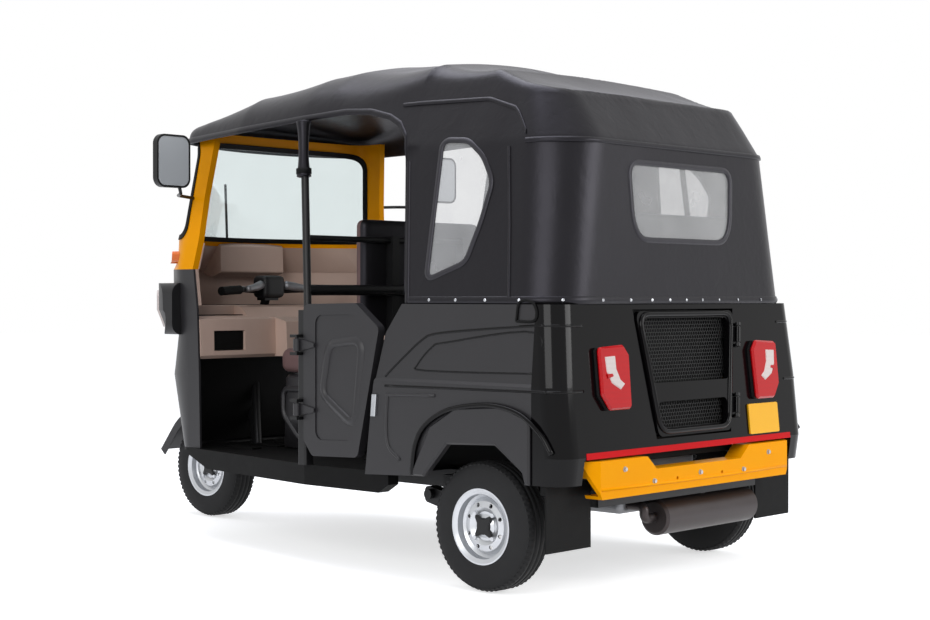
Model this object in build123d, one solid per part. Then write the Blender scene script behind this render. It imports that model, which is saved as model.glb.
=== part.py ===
from build123d import *
import math
import os

# A three-wheeled passenger carrier with a folding-top style canopy.
# Every x below is a distance ahead of the rear axle, y is to the left of the middle
# and z is above the ground. The whole vehicle is shifted once, when it is written.

# Overall sizes
wheelbase = 2000
rear_overhang = 372
front_overhang = 263
length = rear_overhang + wheelbase + front_overhang
rear_axle_x = rear_overhang - length / 2

# Wheels
tyre_radius = 200
tyre_width = 106
rim_radius = 115
seat_radius = 104
hub_radius = 36
hub_half_length = 42
rear_track = 1115
wheel_y = rear_track / 2
axle_radius = 14
running_clearance = 0.05
slot_count = 8
lug_count = 4
lug_circle = 50

# Clearances
seat_gap = 0.3
panel_gap = 6

# Body side and rear
side_y = 650
side_wall = 14
side_bottom_z = 341
belt_z = 628
belt_step = 7
side_top_y = 630
side_top_z = 868
rear_corner_radius = 70
rear_split_x = -235
rear_lean_bottom = (-352, 460)
rear_lean_top = (-310, 860)
flare_depth = 12

# Floor and frame
floor_z = 335
deck_z = 560
backrest_rear_x = 818
floor_sheet = 10
sill_height = 68
sill_width = 46
sill_y = 606
floor_front_x = 1560
floor_taper_x = 790
floor_front_y = 482
rail_y = 300
rail_width = 50
rail_height = 60
rail_bottom_z = floor_z - floor_sheet - rail_height

# Steering
steer_low = (1930, 350)
steer_high = (1680, 900)
stem_radius = 17
head_radius = 27
fork_y = 102
stem_top_z = 888
handlebar_z = 905
mudguard_radius = 240
mudguard_half_width = 76
mudguard_sheet = 4

# Canopy
canopy_wall = 8
seam_z = 1505
curtain_seam_z = 1358
canopy_bottom_z = side_top_z + seat_gap
canopy_split_x = 420

# Doors
door_outer_y = 648
door_wall = 30
hinge_pin_radius = 6
hinge_axis_x = 766
hinge_axis_y = 660


os.makedirs("parts", exist_ok=True)


def write(name, shape):
    """Writes one named piece, moved from the axle frame to the part's own origin."""
    placed = Pos(rear_axle_x, 0, 0) * shape
    export_step(placed, f"parts/{name}.step")


def group(shapes):
    """Several solids that don't touch, kept in one piece."""
    solids = []
    for shape in shapes:
        solids += shape.solids()
    return Compound(solids)


def mirrored(shape):
    return mirror(shape, about=Plane.XZ)


def both(shape):
    return group([shape, mirrored(shape)])


def side_plane(y):
    """Sketches in x and z, extruded towards smaller y."""
    return Plane(origin=(0, y, 0), x_dir=(1, 0, 0), z_dir=(0, -1, 0))


def cross_plane(x):
    """Sketches in y and z, extruded towards larger x."""
    return Plane(origin=(x, 0, 0), x_dir=(0, 1, 0), z_dir=(1, 0, 0))


def polygon(points):
    return make_face(Polyline(*points, close=True))


def rounded(points, radius):
    face = polygon(points)
    return fillet(face.vertices(), radius)


def side_plate(points, outer_y, thickness, radius=0):
    face = rounded(points, radius) if radius else polygon(points)
    return extrude(side_plane(outer_y) * face, thickness)


def cross_plate(points, rear_x, thickness, radius=0):
    face = rounded(points, radius) if radius else polygon(points)
    return extrude(cross_plane(rear_x) * face, thickness)


def block(x0, x1, y0, y1, z0, z1):
    centre = Pos((x0 + x1) / 2, (y0 + y1) / 2, (z0 + z1) / 2)
    return centre * Box(x1 - x0, y1 - y0, z1 - z0)


def rod(start, end, radius):
    """A round bar from one point to another."""
    a = Vector(*start)
    b = Vector(*end)
    axis = Plane(origin=a, z_dir=b - a)
    return axis * Cylinder(radius, (b - a).length, align=(Align.CENTER, Align.CENTER, Align.MIN))


def tube_path(points, bend, radius):
    """A bent round tube along a rounded path."""
    path = FilletPolyline(*points, radius=bend)
    start = Plane(origin=path @ 0, z_dir=path % 0)
    return sweep(start * Circle(radius), path=path)


def steer_point(z, forward=0):
    """A point on the steering axis at a height, moved ahead by an offset."""
    share = (z - steer_low[1]) / (steer_high[1] - steer_low[1])
    x = steer_low[0] + share * (steer_high[0] - steer_low[0])
    return (x + forward, z)


def axis_rod(z0, z1, radius):
    x0, z0 = steer_point(z0)
    x1, z1 = steer_point(z1)
    return rod((x0, 0, z0), (x1, 0, z1), radius)


def nose_section(z, x_side, y_side, bulge, corner, depth):
    """A rounded front in plan: two corner arcs that run smoothly into one wide arc."""
    wide = (bulge**2 + (y_side - corner) ** 2 - corner**2) / (2 * (bulge - corner))
    centre_x = x_side + bulge - wide
    run = math.hypot(x_side - centre_x, y_side - corner)
    meet_x = centre_x + wide * (x_side - centre_x) / run
    meet_y = wide * (y_side - corner) / run
    turn = math.atan2(meet_x - x_side, meet_y - (y_side - corner)) / 2
    mid_x = x_side + corner * math.sin(turn)
    mid_y = y_side - corner + corner * math.cos(turn)
    back = x_side - depth
    edges = [
        Line((back, -y_side, z), (back, y_side, z)),
        Line((back, y_side, z), (x_side, y_side, z)),
        ThreePointArc((x_side, y_side, z), (mid_x, mid_y, z), (meet_x, meet_y, z)),
        ThreePointArc((meet_x, meet_y, z), (x_side + bulge, 0, z), (meet_x, -meet_y, z)),
        ThreePointArc((meet_x, -meet_y, z), (mid_x, -mid_y, z), (x_side, -y_side, z)),
        Line((x_side, -y_side, z), (back, -y_side, z)),
    ]
    return make_face(Wire(edges))


def nose_solid(stations, inset, depth):
    """Lofts nose sections. Columns: z, side x, side y, bulge, corner radius."""
    faces = []
    for z, x_side, y_side, bulge, corner in stations:
        faces.append(nose_section(z, x_side, y_side - inset, bulge - inset, corner - inset, depth))
    pieces = [loft([low, high], ruled=True) for low, high in zip(faces, faces[1:])]
    whole = pieces[0]
    for piece in pieces[1:]:
        whole = whole + piece
    return whole


def nose_shell(stations, offset, wall, depth):
    """A thin curved front, open at the back, inside the given stations by an offset."""
    outer = nose_solid(stations, offset, depth)
    inner = nose_solid(stations, offset + wall, depth + 5)
    return outer - inner


# Front stations. Columns: z, side x, side y, bulge, corner radius
apron_stations = [
    (floor_z + seat_gap, 1560, 480, 150, 80),
    (600, 1553, 490, 280, 240),
    (840, 1558, 495, 380, 150),
    (990, 1585, 490, 350, 120),
]
screen_stations = [
    (990, 1585, 490, 350, 120),
    (1100, 1565, 477, 260, 170),
    (1250, 1553, 460, 190, 90),
    (1500, 1518, 430, 100, 90),
]


def front_x(stations, z, y):
    """Where the outside of a lofted front is at a height, on its wide middle arc."""
    for low, high in zip(stations, stations[1:]):
        if low[0] <= z <= high[0]:
            share = (z - low[0]) / (high[0] - low[0])
            depths = []
            for _, x_side, y_side, bulge, corner in (low, high):
                wide = (bulge**2 + (y_side - corner) ** 2 - corner**2) / (2 * (bulge - corner))
                depths.append(x_side + bulge - wide + math.sqrt(wide**2 - y**2))
            return depths[0] + share * (depths[1] - depths[0])
    raise ValueError("height outside the front")


def tail_section(z, half_width, rear_x, corner, front_x):
    """A U-shaped plan with round rear corners and an open front."""
    turn = corner * (1 - math.sqrt(0.5))
    edges = [
        Line((front_x, half_width, z), (rear_x + corner, half_width, z)),
        ThreePointArc(
            (rear_x + corner, half_width, z),
            (rear_x + turn, half_width - turn, z),
            (rear_x, half_width - corner, z),
        ),
        Line((rear_x, half_width - corner, z), (rear_x, -half_width + corner, z)),
        ThreePointArc(
            (rear_x, -half_width + corner, z),
            (rear_x + turn, -half_width + turn, z),
            (rear_x + corner, -half_width, z),
        ),
        Line((rear_x + corner, -half_width, z), (front_x, -half_width, z)),
        Line((front_x, -half_width, z), (front_x, half_width, z)),
    ]
    return make_face(Wire(edges))


def tail_solid(stations, inset, front_x):
    """Lofts tail sections. Columns: z, half width, rear x, corner radius."""
    faces = []
    for z, half_width, rear_x, corner in stations:
        faces.append(tail_section(z, half_width - inset, rear_x + inset, corner - inset, front_x))
    pieces = [loft([low, high], ruled=True) for low, high in zip(faces, faces[1:])]
    whole = pieces[0]
    for piece in pieces[1:]:
        whole = whole + piece
    return whole


def rear_x_at(z):
    """The rear face of the body leans forward as it rises."""
    share = (z - rear_lean_bottom[1]) / (rear_lean_top[1] - rear_lean_bottom[1])
    return rear_lean_bottom[0] + share * (rear_lean_top[0] - rear_lean_bottom[0])


# Wheels
def wheel_plane(x, y, z):
    """Local x is the radius and local y runs outboard."""
    return Plane(origin=(x, y, z), x_dir=(1, 0, 0), z_dir=(0, 0, 1))


def spin(points, x, y, z, outboard):
    """Revolves an outline of radius and outboard distance about a wheel's axle."""
    placed = [(radius, out * outboard) for radius, out in points]
    face = wheel_plane(x, y, z) * polygon(placed)
    return revolve(face, Axis((x, y, z), (0, 1, 0)))


def make_rim(x, y, z, outboard):
    half = tyre_width / 2
    flange = half - 4
    barrel = [
        (rim_radius, flange + 3), (rim_radius, flange), (seat_radius - seat_gap, flange - 4),
        (seat_radius - 3, 22), (seat_radius - 16, 13), (seat_radius - 16, -13),
        (seat_radius - 3, -22), (seat_radius - seat_gap, 4 - flange), (rim_radius, -flange),
        (rim_radius, -flange - 3), (rim_radius - 5, -flange - 3), (seat_radius - 6, -flange + 3),
        (seat_radius - 8, -24), (seat_radius - 20, -15), (seat_radius - 20, 15),
        (seat_radius - 8, 24), (seat_radius - 6, flange - 3), (rim_radius - 5, flange + 3),
    ]
    dish = [
        (seat_radius - 17, 10), (seat_radius - 17, 15), (76, 31), (58, 35), (44, 27),
        (hub_radius - 6, 27), (hub_radius - 6, 22), (46, 22), (59, 30), (74, 26), (82, 10),
    ]
    hub = [
        (axle_radius + running_clearance, hub_half_length - 8),
        (hub_radius - 10, hub_half_length - 8), (hub_radius, hub_half_length - 14),
        (hub_radius, -hub_half_length + 6), (hub_radius - 10, -hub_half_length),
        (axle_radius + running_clearance, -hub_half_length),
    ]
    rim = spin(barrel, x, y, z, outboard) + spin(dish, x, y, z, outboard) + spin(hub, x, y, z, outboard)
    centre = Pos(x, y, z)
    for index in range(slot_count):
        angle = 360 / slot_count * (index + 0.5)
        slot = centre * Rot(0, angle, 0) * Pos(67, 0, 0) * Rot(90, 0, 0) * Cylinder(6.5, 200)
        rim = rim - slot
    for index in range(lug_count):
        angle = 360 / lug_count * (index + 0.5)
        nut = centre * Rot(0, angle, 0) * Pos(lug_circle, outboard * 33, 0) * Rot(90, 0, 0) * Cylinder(6.6, 13)
        rim = rim + nut
    return rim


def make_tyre(x, y, z, outboard):
    half = tyre_width / 2
    outer = [
        (seat_radius, half - 8), (rim_radius + 4, half - 3), (150, half), (176, half - 2),
        (tyre_radius - 8, half - 9), (tyre_radius - 1.5, half - 22), (tyre_radius, half - 30),
    ]
    inner = [(tyre_radius - 12, 0), (172, half - 14), (150, half - 9), (seat_radius + 14, half - 14), (seat_radius, half - 20)]
    right = [(radius, -out) for radius, out in reversed(outer)]
    inner_right = [(radius, -out) for radius, out in reversed(inner[1:])]
    return spin(outer + right + inner_right + inner, x, y, z, outboard)


wheels = [
    ("front", wheelbase, 0, 1),
    ("rear_left", 0, wheel_y, 1),
    ("rear_right", 0, -wheel_y, -1),
]


def make_wheels():
    for name, x, y, outboard in wheels:
        write(f"wheel_{name}", make_rim(x, y, tyre_radius, outboard))
        write(f"tyre_{name}", make_tyre(x, y, tyre_radius, outboard))


# Rear suspension and drive
arm_pivot = (330, 262)
arm_y = 455
damper_y = 392
damper_top_z = 532


def make_rear_suspension():
    arm_points = [
        (arm_pivot[0] + 30, arm_pivot[1] + 26), (arm_pivot[0] + 30, arm_pivot[1] - 26),
        (40, tyre_radius - 34), (-70, tyre_radius - 30), (-70, tyre_radius + 30), (60, tyre_radius + 34),
    ]
    arm = side_plate(arm_points, arm_y + 20, 40, 14)
    stub = rod((0, arm_y - 5, tyre_radius), (0, wheel_y + hub_half_length - 12, tyre_radius), axle_radius)
    collar = rod((0, arm_y, tyre_radius), (0, wheel_y - hub_half_length - 2, tyre_radius), 30)
    pivot = rod((arm_pivot[0], arm_y - 60, arm_pivot[1]), (arm_pivot[0], arm_y + 40, arm_pivot[1]), 16)
    arm = arm + stub + collar + pivot
    write("rear_arms", both(arm))
    # The drum has a spring and damper leaning between the arm and the frame
    low = (-52, damper_y, tyre_radius + 12)
    high = (-20, damper_y - 8, damper_top_z - 6)
    damper = rod(low, high, 17) + rod(low, (low[0], arm_y - 20 - seat_gap, low[2]), 9)
    damper = damper + rod((-20, damper_y - 8, damper_top_z - 20), (-20, damper_y - 8, damper_top_z), 12)
    axis = Plane(origin=low, z_dir=Vector(*high) - Vector(*low))
    lift = (Vector(*high) - Vector(*low)).length
    turns = 8
    pitch = (lift - 90) / turns
    for index in range(turns):
        ring = axis * Pos(0, 0, 60 + pitch * (index + 0.5)) * Torus(34, 7)
        damper = damper + ring
        web = axis * Pos(0, 0, 60 + pitch * (index + 0.5)) * Cylinder(34, 3)
        damper = damper + web
    for share in (45, lift - 22):
        damper = damper + axis * Pos(0, 0, share) * Cylinder(42, 6)
    write("rear_dampers", both(damper))
    shaft = rod((-10, 230, tyre_radius + 60), (0, arm_y - 24, tyre_radius), 13)
    boot = rod((-10, engine_half_width + seat_gap, tyre_radius + 60), (-10, 250, tyre_radius + 60), 34)
    write("drive_shafts", both(shaft + boot))


# Engine, a plain block in its bay, and the silencer
engine_rear_x = -215
engine_half_width = 200
silencer_radius = 56
silencer_x = engine_rear_x - silencer_radius - 4


def make_engine():
    block_shape = block(engine_rear_x, 190, -engine_half_width, engine_half_width, 215, 540)
    mount = block(60, 120, -rail_y + rail_width / 2 + seat_gap, rail_y - rail_width / 2 - seat_gap, 272, 300)
    write("engine_block", fillet(block_shape.edges(), 24) + mount)
    can = rod((silencer_x, 110, 205), (silencer_x, -395, 205), silencer_radius)
    can = chamfer(can.edges(), 8)
    pipe_y = 160
    pipe = tube_path([
        (silencer_x, 100, 205), (silencer_x, pipe_y, 205), (silencer_x, pipe_y, 244),
        (engine_rear_x - seat_gap, pipe_y, 244),
    ], 18, 15)
    hanger = block(silencer_x - 10, silencer_x + 10, -150, -130, 255, rail_bottom_z - seat_gap)
    write("silencer", can + pipe + hanger)


# Frame and floor
def head_struts(extra):
    """Four bars from the front cross tube up to the head tube."""
    struts = []
    for top_z, back, radius in ((606, 26, 18), (728, 14, 15)):
        top = (steer_point(top_z)[0] - back, 16, top_z)
        bar = rod((1490, 210, rail_bottom_z + 40), top, radius + extra)
        struts += [bar, mirrored(bar)]
    return struts


def make_frame():
    rail = block(-300, floor_front_x - 20, rail_y - rail_width / 2, rail_y + rail_width / 2,
                 rail_bottom_z, floor_z - floor_sheet)
    frame = rail + mirrored(rail)
    # Columns: x, half width
    cross_tubes = [(-275, 420), (arm_pivot[0], 395), (880, 541), (1490, 330)]
    for x, half_width in cross_tubes:
        tube = block(x - 25, x + 25, -half_width, half_width, rail_bottom_z, rail_bottom_z + 50)
        frame = frame + tube
    # Uprights on the rails carry the tops of the dampers
    upright = block(-62, 2, rail_y - 12, rail_y + 22, rail_bottom_z, damper_top_z + 12)
    shelf = block(-62, 24, rail_y - 12, damper_y + 24, damper_top_z + seat_gap, damper_top_z + 12)
    frame = frame + upright + shelf + mirrored(upright + shelf)
    # The head tube leans back and stands on two struts
    head = axis_rod(545, 760, head_radius)
    for strut in head_struts(0):
        frame = frame + strut
    frame = frame + head
    frame = frame - axis_rod(500, 800, stem_radius + running_clearance)
    write("chassis_frame", frame)


def make_floor():
    def plan(inset, front_x):
        half = [(395, sill_y - inset), (floor_taper_x, sill_y - inset), (front_x, floor_front_y - inset)]
        return polygon(half + [(x, -y) for x, y in reversed(half)])

    sheet = extrude(Pos(0, 0, floor_z) * plan(2, floor_front_x), -floor_sheet)
    outer = extrude(Pos(0, 0, floor_z) * plan(0, floor_front_x), -sill_height)
    inner = extrude(Pos(0, 0, floor_z + 1) * plan(sill_width, floor_front_x + 5), -sill_height - 2)
    sill_points = [
        (395, floor_z), (395, floor_z - 40), (440, floor_z - sill_height),
        (floor_front_x - 130, floor_z - sill_height), (floor_front_x, floor_z - 26), (floor_front_x, floor_z),
    ]
    sill = (outer - inner) & side_plate(sill_points, sill_y + 10, 2 * sill_y + 20)
    nose = nose_section(floor_z, *apron_stations[0][1:], 100)
    toe = extrude(nose, floor_sheet, dir=(0, 0, -1))
    floor = sheet + toe + sill
    # Pressed ribs stiffen the floor under the feet
    for index in range(7):
        y = -360 + 120 * index
        floor = floor + block(1320, 1480, y - 22, y + 22, floor_z - 1, floor_z + 6)
        floor = floor + block(480, 740, y - 22, y + 22, floor_z - 1, floor_z + 6)
    for strut in head_struts(2):
        floor = floor - strut
    write("floor_pan", floor)


# Front body
screen_edge = [(1580, 1102), (1536, 1468)]


def screen_prism(inset, radius):
    """Cuts the windscreen opening, which wraps round to the door pillars."""
    low, high = screen_edge
    points = [
        (low[0] + inset, low[1] + inset), (2100, low[1] + inset),
        (2100, high[1] - inset), (high[0] + inset, high[1] - inset),
    ]
    return side_plate(points, 700, 1400, radius)


def make_front():
    apron = nose_shell(apron_stations, 0, 9, 62)
    slot = axis_rod(470, 800, head_radius + 18)
    slot_low = block(1740, 1960, -70, 70, 440, 630) + block(1700, 1960, -150, 150, 400, 575)
    apron = apron - slot - slot_low
    write("front_apron", apron)
    upper = nose_shell(screen_stations, 0, 26, 58)
    write("front_upper_panel", upper - screen_prism(0, 60))
    glass = nose_shell(screen_stations, 9, 5, 10)
    write("windscreen", glass & screen_prism(8, 54))
    seal = nose_shell(screen_stations, -4, 34, 20)
    seal = (seal & screen_prism(seat_gap, 60)) - screen_prism(18, 48)
    seal = seal - nose_shell(screen_stations, 8.7, 5.6, 60)
    write("windscreen_seal", seal)


tray_top_z = 858


def make_dash():
    low_band = block(1200, 2000, -600, 600, tray_top_z, 990)
    high_band = block(1200, 2000, -600, 600, 989.9, 1086)
    lower = nose_shell(apron_stations, 9 + seat_gap, 16, 60) & low_band
    upper = nose_shell(screen_stations, 26 + seat_gap, 5, 60) & high_band
    write("dash_liner", lower + upper)
    tray_points = [
        (1488, 674), (1500, 662), (1640, 662), (1655, 690), (1655, 800), (1648, tray_top_z - seat_gap),
        (1600, 850), (1560, 812), (1492, 806),
    ]
    console_points = [(1424, 676), (1434, 664), (1650, 664), (1650, 800), (1500, 812), (1430, 796)]
    tray = side_plate(tray_points, 560, 1120) + side_plate(console_points, 122, 244, 6)
    tray = tray & nose_solid(apron_stations, 9 + seat_gap, 400)
    cutout = block(1470, 1590, 272, 420, 690, 764)
    bowl = block(1525, 1640, 200, 450, 818, 900)
    tray = tray - both(cutout) - both(bowl)
    write("dash_tray", tray)
    pod = side_plate([(1768, 985), (1772, 1088), (1790, 1100), (1832, 1086), (1880, 985), (1830, 965)], 160, 320, 8)
    room = nose_solid(apron_stations, 31.6, 200) + nose_solid(screen_stations, 31.6, 200)
    write("instrument_pod", pod & room)


# Front fork, wheel guard and handlebar all turn together
front_damper_y = -fork_y - 50
leg_foot = (wheelbase + 88, -fork_y, tyre_radius + 22)


def leg_rod(extra):
    top_x, top_z = steer_point(505)
    return rod((top_x, -fork_y, top_z), leg_foot, 18 + extra)


def make_steering():
    top = steer_point(505)
    stem = axis_rod(505, stem_top_z, stem_radius)
    crown = rod((top[0], 30, top[1]), (top[0], -fork_y - 18, top[1]), 21)
    leg = leg_rod(0)
    eye = rod((leg_foot[0], -fork_y - 20, leg_foot[2]), (leg_foot[0], -fork_y + 20, leg_foot[2]), 24)
    fork = stem + crown + leg + eye
    link_points = [
        (wheelbase - 26, tyre_radius - 18), (wheelbase + 60, tyre_radius - 12),
        (leg_foot[0] + 4, leg_foot[2] - 24), (leg_foot[0] + 24, leg_foot[2]),
        (leg_foot[0], leg_foot[2] + 22), (wheelbase + 10, tyre_radius + 26), (wheelbase - 26, tyre_radius + 18),
    ]
    link = side_plate(link_points, -fork_y + 42, 22)
    axle = rod((wheelbase, -fork_y + 25, tyre_radius), (wheelbase, hub_half_length - 12, tyre_radius), axle_radius)
    pin = rod((leg_foot[0], -fork_y, leg_foot[2]), (leg_foot[0], -fork_y + 40, leg_foot[2]), 10)
    # A short stay from the leg carries the wheel guard
    stay_z = 420
    stay_x = top[0] + (top[1] - stay_z) / (top[1] - leg_foot[2]) * (leg_foot[0] - top[0])
    stay = rod((stay_x, -fork_y, stay_z), (stay_x, -mudguard_half_width - seat_gap, stay_z), 8)
    write("front_fork", fork + link + axle + pin + stay)
    low = (wheelbase - 6, front_damper_y, tyre_radius + 10)
    share = 40 / (top[1] - leg_foot[2])
    high = (top[0] + share * (leg_foot[0] - top[0]), front_damper_y, top[1] - 40)
    damper = rod(low, high, 13)
    axis = Plane(origin=low, z_dir=Vector(*high) - Vector(*low))
    lift = (Vector(*high) - Vector(*low)).length
    turns = 9
    pitch = (lift - 80) / turns
    for index in range(turns):
        damper = damper + axis * Pos(0, 0, 45 + pitch * (index + 0.5)) * Torus(22, 5)
        damper = damper + axis * Pos(0, 0, 45 + pitch * (index + 0.5)) * Cylinder(22, 3)
    foot = rod((low[0], front_damper_y, low[2]), (low[0], -fork_y + 20 - seat_gap, low[2]), 9)
    cap = rod((high[0], front_damper_y, high[2]), (high[0], -fork_y - 10, high[2]), 9) - leg_rod(seat_gap)
    damper = damper + foot + cap
    write("front_damper", damper - link)


def make_mudguard():
    outer = mudguard_radius
    rear_turn = 158
    front_turn = 40
    tip_x = front_overhang
    slope = math.radians(front_turn)
    start = (outer * math.cos(slope), outer * math.sin(slope))
    reach = (tip_x - start[0]) / math.sin(slope)
    tip = (tip_x, start[1] - reach * math.cos(slope))
    rear = math.radians(rear_turn)
    middle = math.radians((rear_turn + front_turn) / 2)
    lean = mudguard_sheet

    def outline(inset):
        r = outer - inset
        a = (r * math.cos(rear), r * math.sin(rear))
        m = (r * math.cos(middle), r * math.sin(middle))
        b = (start[0] - inset * math.cos(slope), start[1] - inset * math.sin(slope))
        c = (tip[0] - inset * math.cos(slope), tip[1] - inset * math.sin(slope))
        return a, m, b, c

    a, m, b, c = outline(0)
    a2, m2, b2, c2 = outline(lean)
    skin = make_face(Wire([
        ThreePointArc(a, m, b), Line(b, c), Line(c, c2), Line(c2, b2), ThreePointArc(b2, m2, a2), Line(a2, a),
    ]))
    place = Pos(wheelbase, 0, tyre_radius)
    guard = place * extrude(side_plane(mudguard_half_width) * skin, mudguard_half_width * 2)
    a3, m3, b3, c3 = outline(34)
    side = make_face(Wire([
        ThreePointArc(a, m, b), Line(b, c), Line(c, c3), Line(c3, b3), ThreePointArc(b3, m3, a3), Line(a3, a),
    ]))
    lip = place * extrude(side_plane(mudguard_half_width) * side, lean)
    other = place * extrude(side_plane(-mudguard_half_width + lean) * side, lean)
    write("front_mudguard", guard + lip + other)


def make_handlebar():
    centre = steer_point(handlebar_z)
    grip_reach = 290
    path = [
        (centre[0] - 84, grip_reach, centre[1] + 6), (centre[0] - 60, 175, centre[1] + 12),
        (centre[0], 60, centre[1] + 8), (centre[0], -60, centre[1] + 8),
        (centre[0] - 60, -175, centre[1] + 12), (centre[0] - 84, -grip_reach, centre[1] + 6),
    ]
    bar = tube_path(path, 40, 11)
    clamp = block(centre[0] - 24, centre[0] + 24, -34, 34, centre[1] - 30, centre[1] + 26)
    socket = axis_rod(800, stem_top_z + seat_gap, stem_radius + running_clearance)
    write("handlebar", bar + clamp - socket)
    direction = Vector(*path[1]) - Vector(*path[0])
    inner = Vector(*path[0]) + direction * 0.82
    outer = Vector(*path[0]) - direction * 0.12
    grip = Plane(origin=outer, z_dir=inner - outer) * Cylinder(
        17, (inner - outer).length, align=(Align.CENTER, Align.CENTER, Align.MIN))
    sleeve = Plane(origin=outer, z_dir=inner - outer) * Pos(0, 0, 12) * Cylinder(
        11 + running_clearance, (inner - outer).length, align=(Align.CENTER, Align.CENTER, Align.MIN))
    write("handlebar_grips", both(grip - sleeve))


# Seats
def body_inside(gap):
    """The room between the two body sides, kept clear of them by a gap."""
    wall = side_wall + gap
    half = [
        (side_y - wall, 200), (side_y - wall, belt_z - 8), (side_y - belt_step - wall, belt_z),
        (side_top_y - wall, side_top_z),
    ]
    other = [(-y, z) for y, z in reversed(half)]
    return cross_plate(half + other, rear_split_x - 100, 900)


def make_seats():
    box_points = [(930, floor_z), (1270, floor_z), (1255, 612), (930, 612)]
    box_shape = side_plate(box_points, 235, 470, 12) - side_plate(
        [(942, floor_z - 20), (1258, floor_z - 20), (1243, 600), (942, 600)], 223, 446)
    write("driver_seat_box", box_shape)
    cushion = block(900, 1310, -262, 262, 612 + seat_gap, 706)
    write("driver_seat_cushion", fillet(cushion.edges(), 26))
    back = block(backrest_rear_x, backrest_rear_x + 62, -300, 300, 752, 1160)
    write("driver_backrest", fillet(back.edges(), 24))
    cover_line = [(408, floor_z + seat_gap), (386, deck_z), (-66, deck_z), (-160, 850), (-232, 850)]
    inner_line = [(-232, 840), (-167, 840), (-76, 550), (376, 550), (396, floor_z + seat_gap)]
    cover = side_plate(cover_line + inner_line, side_y, side_y * 2) & body_inside(seat_gap)
    write("engine_bay_cover", cover)
    seat = block(-62, 404, -570, 570, deck_z + seat_gap, 690)
    write("passenger_cushion", fillet(seat.edges(), 30))
    rest = side_plate([(-111.8, 702), (0, 702), (-92, 1160), (-168.4, 1160), (-161.4, 856)], 565, 1130, 16)
    write("passenger_backrest", rest)


# Body sides
side_outline = [
    (310, side_top_z), (376, 777), (418, 612), (455, side_bottom_z - 12), (190, side_bottom_z),
    (92, 445), (-100, 453), (-206, 380), (-216, 345), (rear_split_x, 345), (rear_split_x, side_top_z),
]
flare_outline = [
    (247, side_bottom_z), (163, 497), (58, 557), (-133, 570), (-235, 535), (-235, 345), (-216, 345),
    (-206, 380), (-100, 453), (92, 445), (190, side_bottom_z),
]


def make_side_panels():
    section = [
        (side_y, side_bottom_z - 12), (side_y, belt_z), (side_y - belt_step, belt_z + belt_step + 2),
        (side_top_y, side_top_z), (side_top_y - side_wall, side_top_z),
        (side_y - belt_step - side_wall, belt_z), (side_y - side_wall, belt_z - 8),
        (side_y - side_wall, side_bottom_z - 12),
    ]
    band = extrude(cross_plane(rear_split_x) * polygon(section), 455 - rear_split_x)
    outline = side_plate(side_outline, side_y + 20, 100)
    panel = band & outline
    flare = side_plate(flare_outline, side_y + flare_depth, flare_depth + side_wall)
    flare = chamfer(flare.faces().sort_by(Axis.Y)[-1].edges(), 6)
    panel = panel + flare
    write("side_panel_left", panel)
    write("side_panel_right", mirrored(panel))


def make_rear_panel():
    # Columns: z, half width, rear x, corner radius
    stations = [
        (345, side_y, rear_x_at(425) + 12, rear_corner_radius),
        (425, side_y, rear_x_at(425), rear_corner_radius),
        (belt_z, side_y, rear_x_at(belt_z), rear_corner_radius),
        (side_top_z, side_top_y, rear_x_at(side_top_z), rear_corner_radius),
    ]
    shell = tail_solid(stations, 0, rear_split_x) - tail_solid(stations, side_wall, rear_split_x + 40)
    bumper_room = block(-420, rear_split_x + 10, -552, 552, 300, 418)
    shell = shell - bumper_room
    opening = extrude(rear_plane() * polygon(door_trapezoid(0)), 60, both=True)
    write("rear_panel", shell - opening)


def rear_plane():
    """Local x is to the right as seen from behind, local y is up the leaning face."""
    rise = Vector(rear_lean_top[0] - rear_lean_bottom[0], 0, rear_lean_top[1] - rear_lean_bottom[1])
    up = rise.normalized()
    out = Vector(-up.Z, 0, up.X)
    return Plane(origin=(rear_lean_bottom[0], 0, rear_lean_bottom[1]), x_dir=(0, -1, 0), z_dir=out)


hatch_top_half = 268
hatch_bottom_half = 200
hatch_low = -2
hatch_high = 394


def door_trapezoid(inset):
    return [
        (-hatch_bottom_half + inset, hatch_low + inset), (hatch_bottom_half - inset, hatch_low + inset),
        (hatch_top_half - inset, hatch_high - inset), (-hatch_top_half + inset, hatch_high - inset),
    ]


# Hatch hinge line: out from the face, and right of the hatch's edge
hatch_axis_out = 14
hatch_axis_right = 12
hatch_pin_radius = 5
hatch_knuckle_radius = 9
# Each hinge has a low and a high end, measured up the hinge line
hatch_hinges = [(60, 110), (290, 340)]
mesh_pitch = 34
mesh_bar = 7
mesh_count = 14


def hatch_axis_point(run):
    """A point on the slanting hinge line, just outside the hatch's right edge."""
    slant = Vector(hatch_top_half - hatch_bottom_half, hatch_high - hatch_low).normalized()
    local = Vector(hatch_bottom_half + hatch_axis_right, hatch_low) + slant * run
    point = rear_plane().from_local_coords(Vector(local.X, local.Y, hatch_axis_out))
    return (point.X, point.Y, point.Z)


def hatch_knuckles():
    """Knuckles and leaves that carry the hatch on pins fixed to the rear panel."""
    knuckles = []
    for low, high in hatch_hinges:
        a = Vector(*hatch_axis_point(low))
        b = Vector(*hatch_axis_point(high))
        middle = (a + b) * 0.5
        line = Plane(origin=middle, x_dir=Vector(0, 1, 0), z_dir=b - a)
        leaf = line * Pos(17, -6.5, 0) * Box(34, 5, high - low)
        knuckle = line * Cylinder(hatch_knuckle_radius, high - low)
        bore = line * Cylinder(hatch_pin_radius + running_clearance, high - low + 10)
        knuckles.append(leaf + knuckle - bore)
    return knuckles


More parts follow.
